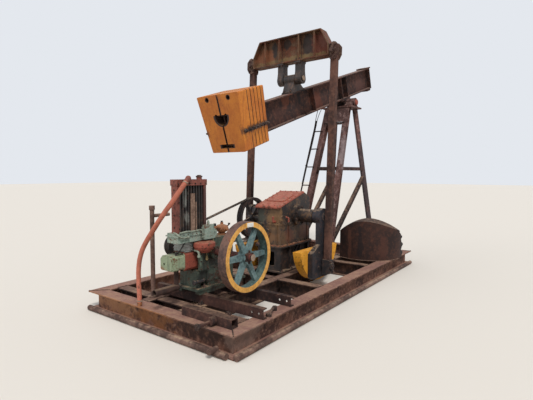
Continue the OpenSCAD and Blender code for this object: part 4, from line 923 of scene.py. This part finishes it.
piece("wrist_bolts", BOLT, "equalizer_and_pitmans", "bearing_dark", wrist_bolts(1, LEFT),
      wrist_bolts(-1, RIGHT))
CRANK_STUDS = [(-0.06, 0.50), (0.12, 0.46), (-0.07, 0.30), (0.12, 0.27)]
piece("crank_studs", BEARING, "crank", "crank_blue",
      *(both_ends(lambda spot, way: disc(0.021, 0.006, spot, way), stud, CRANK_FACE)
        for stud in CRANK_STUDS),
      both_ends(lambda spot, way: disc(0.034, 0.004, spot, way), CRANKSHAFT, CRANKSHAFT_END))
piece("input_sheave_bolts", BOLT, "input_sheave", "sheave_grey",
      bolts(0.013, ring(on_axis(SHEAVE_SHAFT, INPUT_FACE), 0.046, 6), LEFT),
      disc(0.026, 0.005, on_axis(SHEAVE_SHAFT, INPUT_FACE), LEFT))

# Grease lines from the saddle bearing down the ladder, with the clips that hold them

GREASE_LINE, GREASE_POINTS = 0.0055, 70
piece("grease_lines", BLACK_LINE, "base", "core_dark",
      pipe([(1.885, 0.2, 2.95), (1.88, 0.24, 2.99), (1.80, 0.30, 2.975), (1.70, 0.34, 2.88),
            (1.60, 0.356, 2.70), (1.505, 0.358, 2.42), (1.395, 0.368, 2.12), (1.268, 0.382, 1.755),
            (1.15, 0.392, 1.42)], GREASE_LINE, 8, GREASE_POINTS),
      pipe([(1.915, 0.17, 2.95), (1.90, 0.20, 2.975), (1.79, 0.26, 2.93), (1.68, 0.31, 2.78),
            (1.585, 0.334, 2.60), (1.53, 0.33, 2.47), (1.42, 0.338, 2.16), (1.295, 0.36, 1.80),
            (1.17, 0.40, 1.44)], GREASE_LINE, 8, GREASE_POINTS),
      disc(0.012, 0.018, (1.885, 0.2, 2.945), UP),
      disc(0.012, 0.018, (1.915, 0.17, 2.945), UP),
      placed(block((-0.004, -0.03, -0.009), (0.008, 0.03, 0.009)), (1.43, 0.352, 2.215)),
      placed(block((-0.004, -0.034, -0.009), (0.008, 0.03, 0.009)), (1.265, 0.372, 1.745)))

# Flywheel and drive sheave, whose faces lie at these distances across the unit

WHEEL_FACE, HUB_FACE, SHAFT_END, SHEAVE_FACE = -0.80, -0.79, -0.845, 0.385
KEY_HEIGHT = ENGINE_SHAFT[1] + 0.036
piece("flywheel_label", LABEL, "engine_flywheel", "head_mint",
      placed(block((-0.05, -0.022, 0), (0.05, 0.022, 0.0012)), (-1.768, WHEEL_FACE, 1.083), RIGHT))
piece("flywheel_hub_parts", HORSEHEAD, "engine_flywheel", "flywheel_yellow",
      disc(0.047, 0.02, on_axis(ENGINE_SHAFT, HUB_FACE), RIGHT, 0.005),
      placed(block((-0.008, -0.05, 0), (0.008, 0.0, 0.012)), (ENGINE_SHAFT[0], HUB_FACE, KEY_HEIGHT),
             RIGHT, AHEAD),
      bolts(0.018, ring(on_axis(ENGINE_SHAFT, HUB_FACE), 0.06, 6, turn=0.5), RIGHT))
piece("flywheel_shaft_end", WORN_STEEL, "engine_flywheel", "sheave_grey",
      disc(0.035, 0.004, on_axis(ENGINE_SHAFT, SHAFT_END), RIGHT))
piece("drive_sheave_bolts", BOLT, "engine_flywheel", "sheave_grey",
      bolts(0.013, ring(on_axis(ENGINE_SHAFT, SHEAVE_FACE), 0.055, 4), LEFT),
      disc(0.03, 0.003, on_axis(ENGINE_SHAFT, 0.407), LEFT))

# Engine, with the heights of its feet and of the tank's rim, and the faces that its bolts stand on

FEET_TOP, TANK_RIM = 0.385, 0.978
HEAD_FACE, SIDE_PLATE, CASING_FACE = -2.14, -0.279, -0.304
piece("engine_bolts", BOLT, "base", "engine_green",
      bolts(0.018, grid(HEAD_FACE, (-0.19, -0.125, -0.06), (0.598, 0.772)), BACK, 0.014),
      bolts(0.014, grid((-1.981, -1.886), CASING_FACE, (0.594, 0.676, 0.758)), RIGHT),
      bolts(0.015, grid((-1.858, -1.76, -1.65, -1.547), SIDE_PLATE, (0.45, 0.575)), RIGHT),
      bolts(0.024, grid((-1.925, -1.70, -1.447, -1.30), (-0.291, 0.041), FEET_TOP), UP, 0.02),
      bolts(0.014, ring(on_axis(ENGINE_SHAFT, -0.33), 0.056, 6), RIGHT),
      bolts(0.014, ring(on_axis(ENGINE_SHAFT, 0.08), 0.056, 6), LEFT),
      bolts(0.010, ring((-1.518, -0.17, 0.912), 0.044, 4, axis=2, turn=0.4), UP),
      bolts(0.011, row((-2.26, -1.97), -0.288, TANK_RIM, 6), UP),
      bolts(0.012, row((-2.262, -1.77), -0.124, TANK_RIM, 7), UP),
      bolts(0.014, ring((-2.17, -0.125, 0.608), 0.034, 4, axis=2), DOWN))
piece("engine_pipes", PALE_PIPE, "base", "head_mint",
      pipe([(-2.255, -0.284, 1.007), (-2.16, -0.286, 1.014), (-2.08, -0.284, 1.008),
            (-1.98, -0.286, 1.012), (-1.955, -0.30, 1.0), (-1.952, -0.304, 0.955)], 0.009),
      pipe([(-2.265, -0.20, 1.008), (-2.285, -0.27, 1.004), (-2.28, -0.30, 0.985),
            (-2.24, -0.305, 0.962), (-2.17, -0.302, 0.958)], 0.008),
      disc(0.014, 0.024, (-2.17, -0.302, 0.958), AHEAD),
      disc(0.013, 0.02, (-1.952, -0.304, 0.948), DOWN),
      pipe([(-2.035, -0.262, 0.80), (-2.035, -0.30, 0.798), (-2.03, -0.318, 0.78),
            (-2.028, -0.32, 0.742)], 0.012),
      disc(0.018, 0.02, (-2.028, -0.32, 0.75), DOWN),
      disc(0.012, 0.02, (-1.883, -0.314, 1.086), UP))
piece("engine_brass", BRASS, "base", "governor_orange",
      disc(0.012, 0.05, (-1.912, -0.316, 0.682), UP),
      disc(0.017, 0.012, (-1.912, -0.316, 0.69), UP),
      pipe([(-1.912, -0.316, 0.73), (-1.912, -0.318, 0.76), (-1.895, -0.33, 0.778),
            (-1.86, -0.335, 0.776)], 0.005),
      pipe([(-1.65, -0.17, 0.992), (-1.70, -0.175, 1.0), (-1.745, -0.20, 0.985), (-1.76, -0.235, 0.94),
            (-1.762, -0.262, 0.905), (-1.765, -0.275, 0.86)], 0.0045),
      disc(0.011, 0.022, (-1.765, -0.274, 0.86), DOWN))
piece("engine_black_parts", BLACK_LINE, "base", "core_dark",
      pipe([(-2.06, -0.288, 0.462), (-1.99, -0.288, 0.462), (-1.93, -0.286, 0.462)], 0.019),
      disc(0.026, 0.018, (-2.06, -0.288, 0.462), BACK),
      disc(0.016, 0.03, (-1.634, -0.17, 1.008), UP),
      disc(0.013, 0.016, (-1.518, -0.17, 1.042), UP),
      pipe([(-1.45, -0.175, 0.985), (-1.425, -0.18, 0.995), (-1.405, -0.182, 1.008)], 0.008),
      disc(0.014, 0.02, (-1.405, -0.182, 1.004), UP),
      pipe([(-2.10, -0.22, 0.905), (-2.12, -0.245, 0.93), (-2.16, -0.255, 0.90), (-2.205, -0.23, 0.82),
            (-2.215, -0.19, 0.785), (-2.215, -0.18, 0.765)], 0.006),
      disc(0.012, 0.035, (-2.215, -0.18, 0.76), UP))

# Radiator, with the strap that hangs in front of it, and the clamps at the hose's ends

RADIATOR_Y = -0.228
piece("radiator_strap", STRAP, "base", "radiator_red",
      block((-2.088, -0.2705, 1.0), (-2.030, -0.2645, 1.40)),
      block((-2.020, -0.2705, 1.0), (-2.006, -0.2665, 1.31)))
piece("radiator_bolts", BOLT, "base", "radiator_red",
      bolts(0.013, row((-2.262, -1.878), -0.278, 1.502, 6), RIGHT),
      bolts(0.013, row(-2.243, -0.27, (1.05, 1.44), 4), RIGHT),
      bolts(0.013, row(-2.272, RADIATOR_Y, (1.06, 1.44), 4), BACK),
      bolts(0.013, row(-1.867, RADIATOR_Y, (1.06, 1.44), 4), AHEAD),
      placed(lathe([(0.034, 0), (0.036, 0.004), (0.036, 0.012), (0.024, 0.016), (0.022, 0.022),
                    (0.008, 0.024)]), (-1.927, -0.2275, 1.567)))
hose_top = np.array(HOSE_ROUTE[0])
hose_way = unit(np.array(HOSE_ROUTE[1]) - hose_top)
upper_screw = hose_top + hose_way * 0.0185 + (0, -0.028, 0.004)
piece("hose_clamps", WORN_STEEL, "base", "shaft_steel",
      disc(0.0285, 0.013, hose_top + hose_way * 0.012, hose_way),
      disc(0.0285, 0.013, (-2.4, 0.191, 0.262), UP),
      bolts(0.011, [upper_screw, (-2.4, 0.1625, 0.2685)], RIGHT, 0.01))

# Skid: seams on the mitres, at the ends of the inner and cross beams and round the feet of the post

mitres = [((end * 2.42, side * 1.14, SKID_TOP), (end * 2.255, side * 0.975, SKID_TOP))
          for end in (-1, 1) for side in (-1, 1)]
inner_ends = [((x, y, SKID_TOP), (x, y + 0.13, SKID_TOP))
              for x in (-2.255, 2.255) for y in (-0.365, 0.235)]
cross_ends = [((x - 0.065, y, SKID_TOP), (x + 0.065, y, SKID_TOP)) for x in (-2.08, -0.6, 0.86, 1.27)
              for y in (-0.975, -0.365, -0.235, 0.235, 0.365, 0.975)]
feet = [((x0, side * y, 0.213), (x1, side * y, 0.213))
        for x0, x1, y in ((0.752, 0.968, 0.2245), (0.752, 0.968, 0.3655),
                          (2.257, 2.403, 0.3695), (2.257, 2.403, 0.5305)) for side in (1, -1)]
piece("skid_welds", WELD, "base", "skid_steel",
      *(weld(start, end, 0.006) for start, end in mitres + inner_ends + cross_ends + feet))
CLIP_SEAT, CLIP_THICK = 0.212, 0.014
RAIL_CLIPS = grid((-1.975, -1.498), (-0.30, 0.30), CLIP_SEAT)
BASE_PLATE_TOP = 0.228
piece("skid_bolts", BOLT, "base", "rail_steel",
      bolts(0.024, both(grid((0.772, 0.948), (0.247, 0.343), BASE_PLATE_TOP)), UP, 0.015),
      bolts(0.022, both(grid((2.274, 2.386), (0.39, 0.51), BASE_PLATE_TOP)), UP, 0.015),
      bolts(0.024, np.array(RAIL_CLIPS) + (0, 0, CLIP_THICK), UP, 0.015),
      stamped(block((-0.028, -0.035, 0), (0.02, 0.035, CLIP_THICK)), RAIL_CLIPS),
      pipe([(-1.835, -1.085, 0.226), (-1.78, -1.066, 0.236), (-1.70, -1.04, 0.25),
            (-1.655, -1.03, 0.245)], 0.016),
      disc(0.03, 0.03, (-1.835, -1.085, 0.212), UP),
      disc(0.024, 0.045, (-1.66, -1.03, 0.212), UP),
      placed(hexagon(0.056, 0.026), (-2.521, -0.815, 0.256), BACK),
      placed(hexagon(0.056, 0.026), (-2.14, -0.815, 0.256), AHEAD))

# Horsehead, lying on its side: the lip round its foot, and the torn edge of its face

LIP_X, LIP_Y, LIP_RADIUS, LIP_Z = 1.635, -0.65, 0.543, 0.2175
lip_turn = np.radians(np.linspace(149, 267, 60))
lip_line = np.stack([LIP_X + LIP_RADIUS * np.cos(lip_turn), LIP_Y + LIP_RADIUS * np.sin(lip_turn),
                     np.full(len(lip_turn), LIP_Z)], -1)
piece("horsehead_lip", STRAP, "base", "horsehead_brown", tube(lip_line, 0.0055, 8, UP))


def torn_plate(corner, reach, low, high, thick=0.008, rows=90, columns=12):
    """Plate that runs along X from a corner and ends in a torn edge. At height z it reaches
    reach (0.15 + 0.6 b + 0.25 t): b is half an ellipse over the height, and t is the mean of three
    triangle waves of z. Towards the tear it bends in by up to 60 mm and buckles."""
    z = np.linspace(low, high, rows)
    waves = [np.abs((z * rate + lag) % 2 - 1) for rate, lag in ((13, 0.3), (31, 1.2), (67, 0.7))]
    share_up = (z - low) / (high - low)
    bulge = np.sqrt(np.clip(1 - ((share_up - 0.36) / 0.66) ** 2, 0, 1))
    tear = reach * (0.15 + 0.6 * bulge + 0.25 * sum(waves) / 3)
    share = np.linspace(0, 1, columns)
    bend = share ** 2 * (0.045 + 0.015 * np.sin(z * 43)[:, None])
    face = np.stack([corner[0] + tear[:, None] * share, corner[1] + bend,
                     np.repeat(z[:, None], columns, 1)], -1)
    back = face[:, ::-1] + (0, thick, 0)
    near = np.arange(columns - 1)
    far = 2 * columns - 1 - near
    end = np.stack([near, near + 1, far - 1, far], -1)
    last = (rows - 1) * 2 * columns
    return (np.concatenate([face, back], 1).reshape(-1, 3),
            [ring_faces(rows, 2 * columns), end[:, ::-1], end + last])


# The horsehead coat paints this torn edge near black as painted shade.
piece("horsehead_torn_edge", HORSEHEAD, "base", "horsehead_brown",
      torn_plate((1.615, -1.192), 0.33, 0.213, 0.640), round_under=50)


# Floor, light and camera

floor_mesh = bpy.data.meshes.new("floor")
floor_mesh.from_pydata([(-40, -40, -0.001), (60, -40, -0.001), (60, 60, -0.001), (-40, 60, -0.001)], [],
                       [(0, 1, 2, 3)])
floor_mesh.materials.append(Coat("floor_pale").done((216, 208, 196), 0.9))
floor = bpy.data.objects.new("floor", floor_mesh)
bpy.context.scene.collection.objects.link(floor)

world = bpy.data.worlds.new("studio")
bpy.context.scene.world = world
world.use_nodes = True
sky = world.node_tree
sky.nodes.clear()


def glow(colour, strength):
    """Background of one colour, as a socket of the world's tree."""
    node = sky.nodes.new("ShaderNodeBackground")
    node.inputs["Color"].default_value = (*light_of(colour), 1)
    node.inputs["Strength"].default_value = strength
    return node.outputs["Background"]


# The brighter sky is only for what sees it: the camera, reflections and whatever is clear
rays = sky.nodes.new("ShaderNodeLightPath")
seen = rays.outputs["Is Camera Ray"]
for ray in ("Is Glossy Ray", "Is Transmission Ray"):
    either = sky.nodes.new("ShaderNodeMath")
    either.operation = "MAXIMUM"
    sky.links.new(seen, either.inputs[0])
    sky.links.new(rays.outputs[ray], either.inputs[1])
    seen = either.outputs[0]
sky_mix = sky.nodes.new("ShaderNodeMixShader")
sky.links.new(seen, sky_mix.inputs["Fac"])
sky.links.new(glow((226, 232, 242), 0.72), sky_mix.inputs[1])
sky.links.new(glow((228, 232, 238), 1.0), sky_mix.inputs[2])
sky.links.new(sky_mix.outputs["Shader"], sky.nodes.new("ShaderNodeOutputWorld").inputs["Surface"])


def sun(name, heading, height, strength, spread):
    """Soft distant lamp that shines from a heading and a height above the floor, in degrees."""
    lamp = bpy.data.lights.new(name, "SUN")
    lamp.energy = strength
    lamp.angle = math.radians(spread)
    holder = bpy.data.objects.new(name, lamp)
    holder.rotation_euler = Euler((math.radians(90 - height), 0, math.radians(heading + 90)))
    bpy.context.scene.collection.objects.link(holder)


sun("key", -128, 52, 2.3, 14)
sun("fill", 150, 30, 0.5, 40)

# The photo's camera: width and focal length in pixels, place in metres, directions in degrees
VIEW_WIDTH = 533
FOCAL_PIXELS = 405.895
SENSOR = 36
EYE = (-4.968, -3.388, 1.61)
HEADING, DIP, ROLL = 36.69, 3.7855, -0.081

camera = bpy.data.cameras.new("camera")
camera.sensor_fit = "HORIZONTAL"
camera.sensor_width = SENSOR
camera.lens = FOCAL_PIXELS / VIEW_WIDTH * SENSOR
camera.clip_end = 200
seat = bpy.data.objects.new("camera", camera)
seat.location = EYE
seat.rotation_euler = Euler([math.radians(turn) for turn in (90 - DIP, ROLL, HEADING - 90)])
bpy.context.scene.collection.objects.link(seat)
bpy.context.scene.camera = seat
bpy.context.scene.view_settings.view_transform = "Standard"
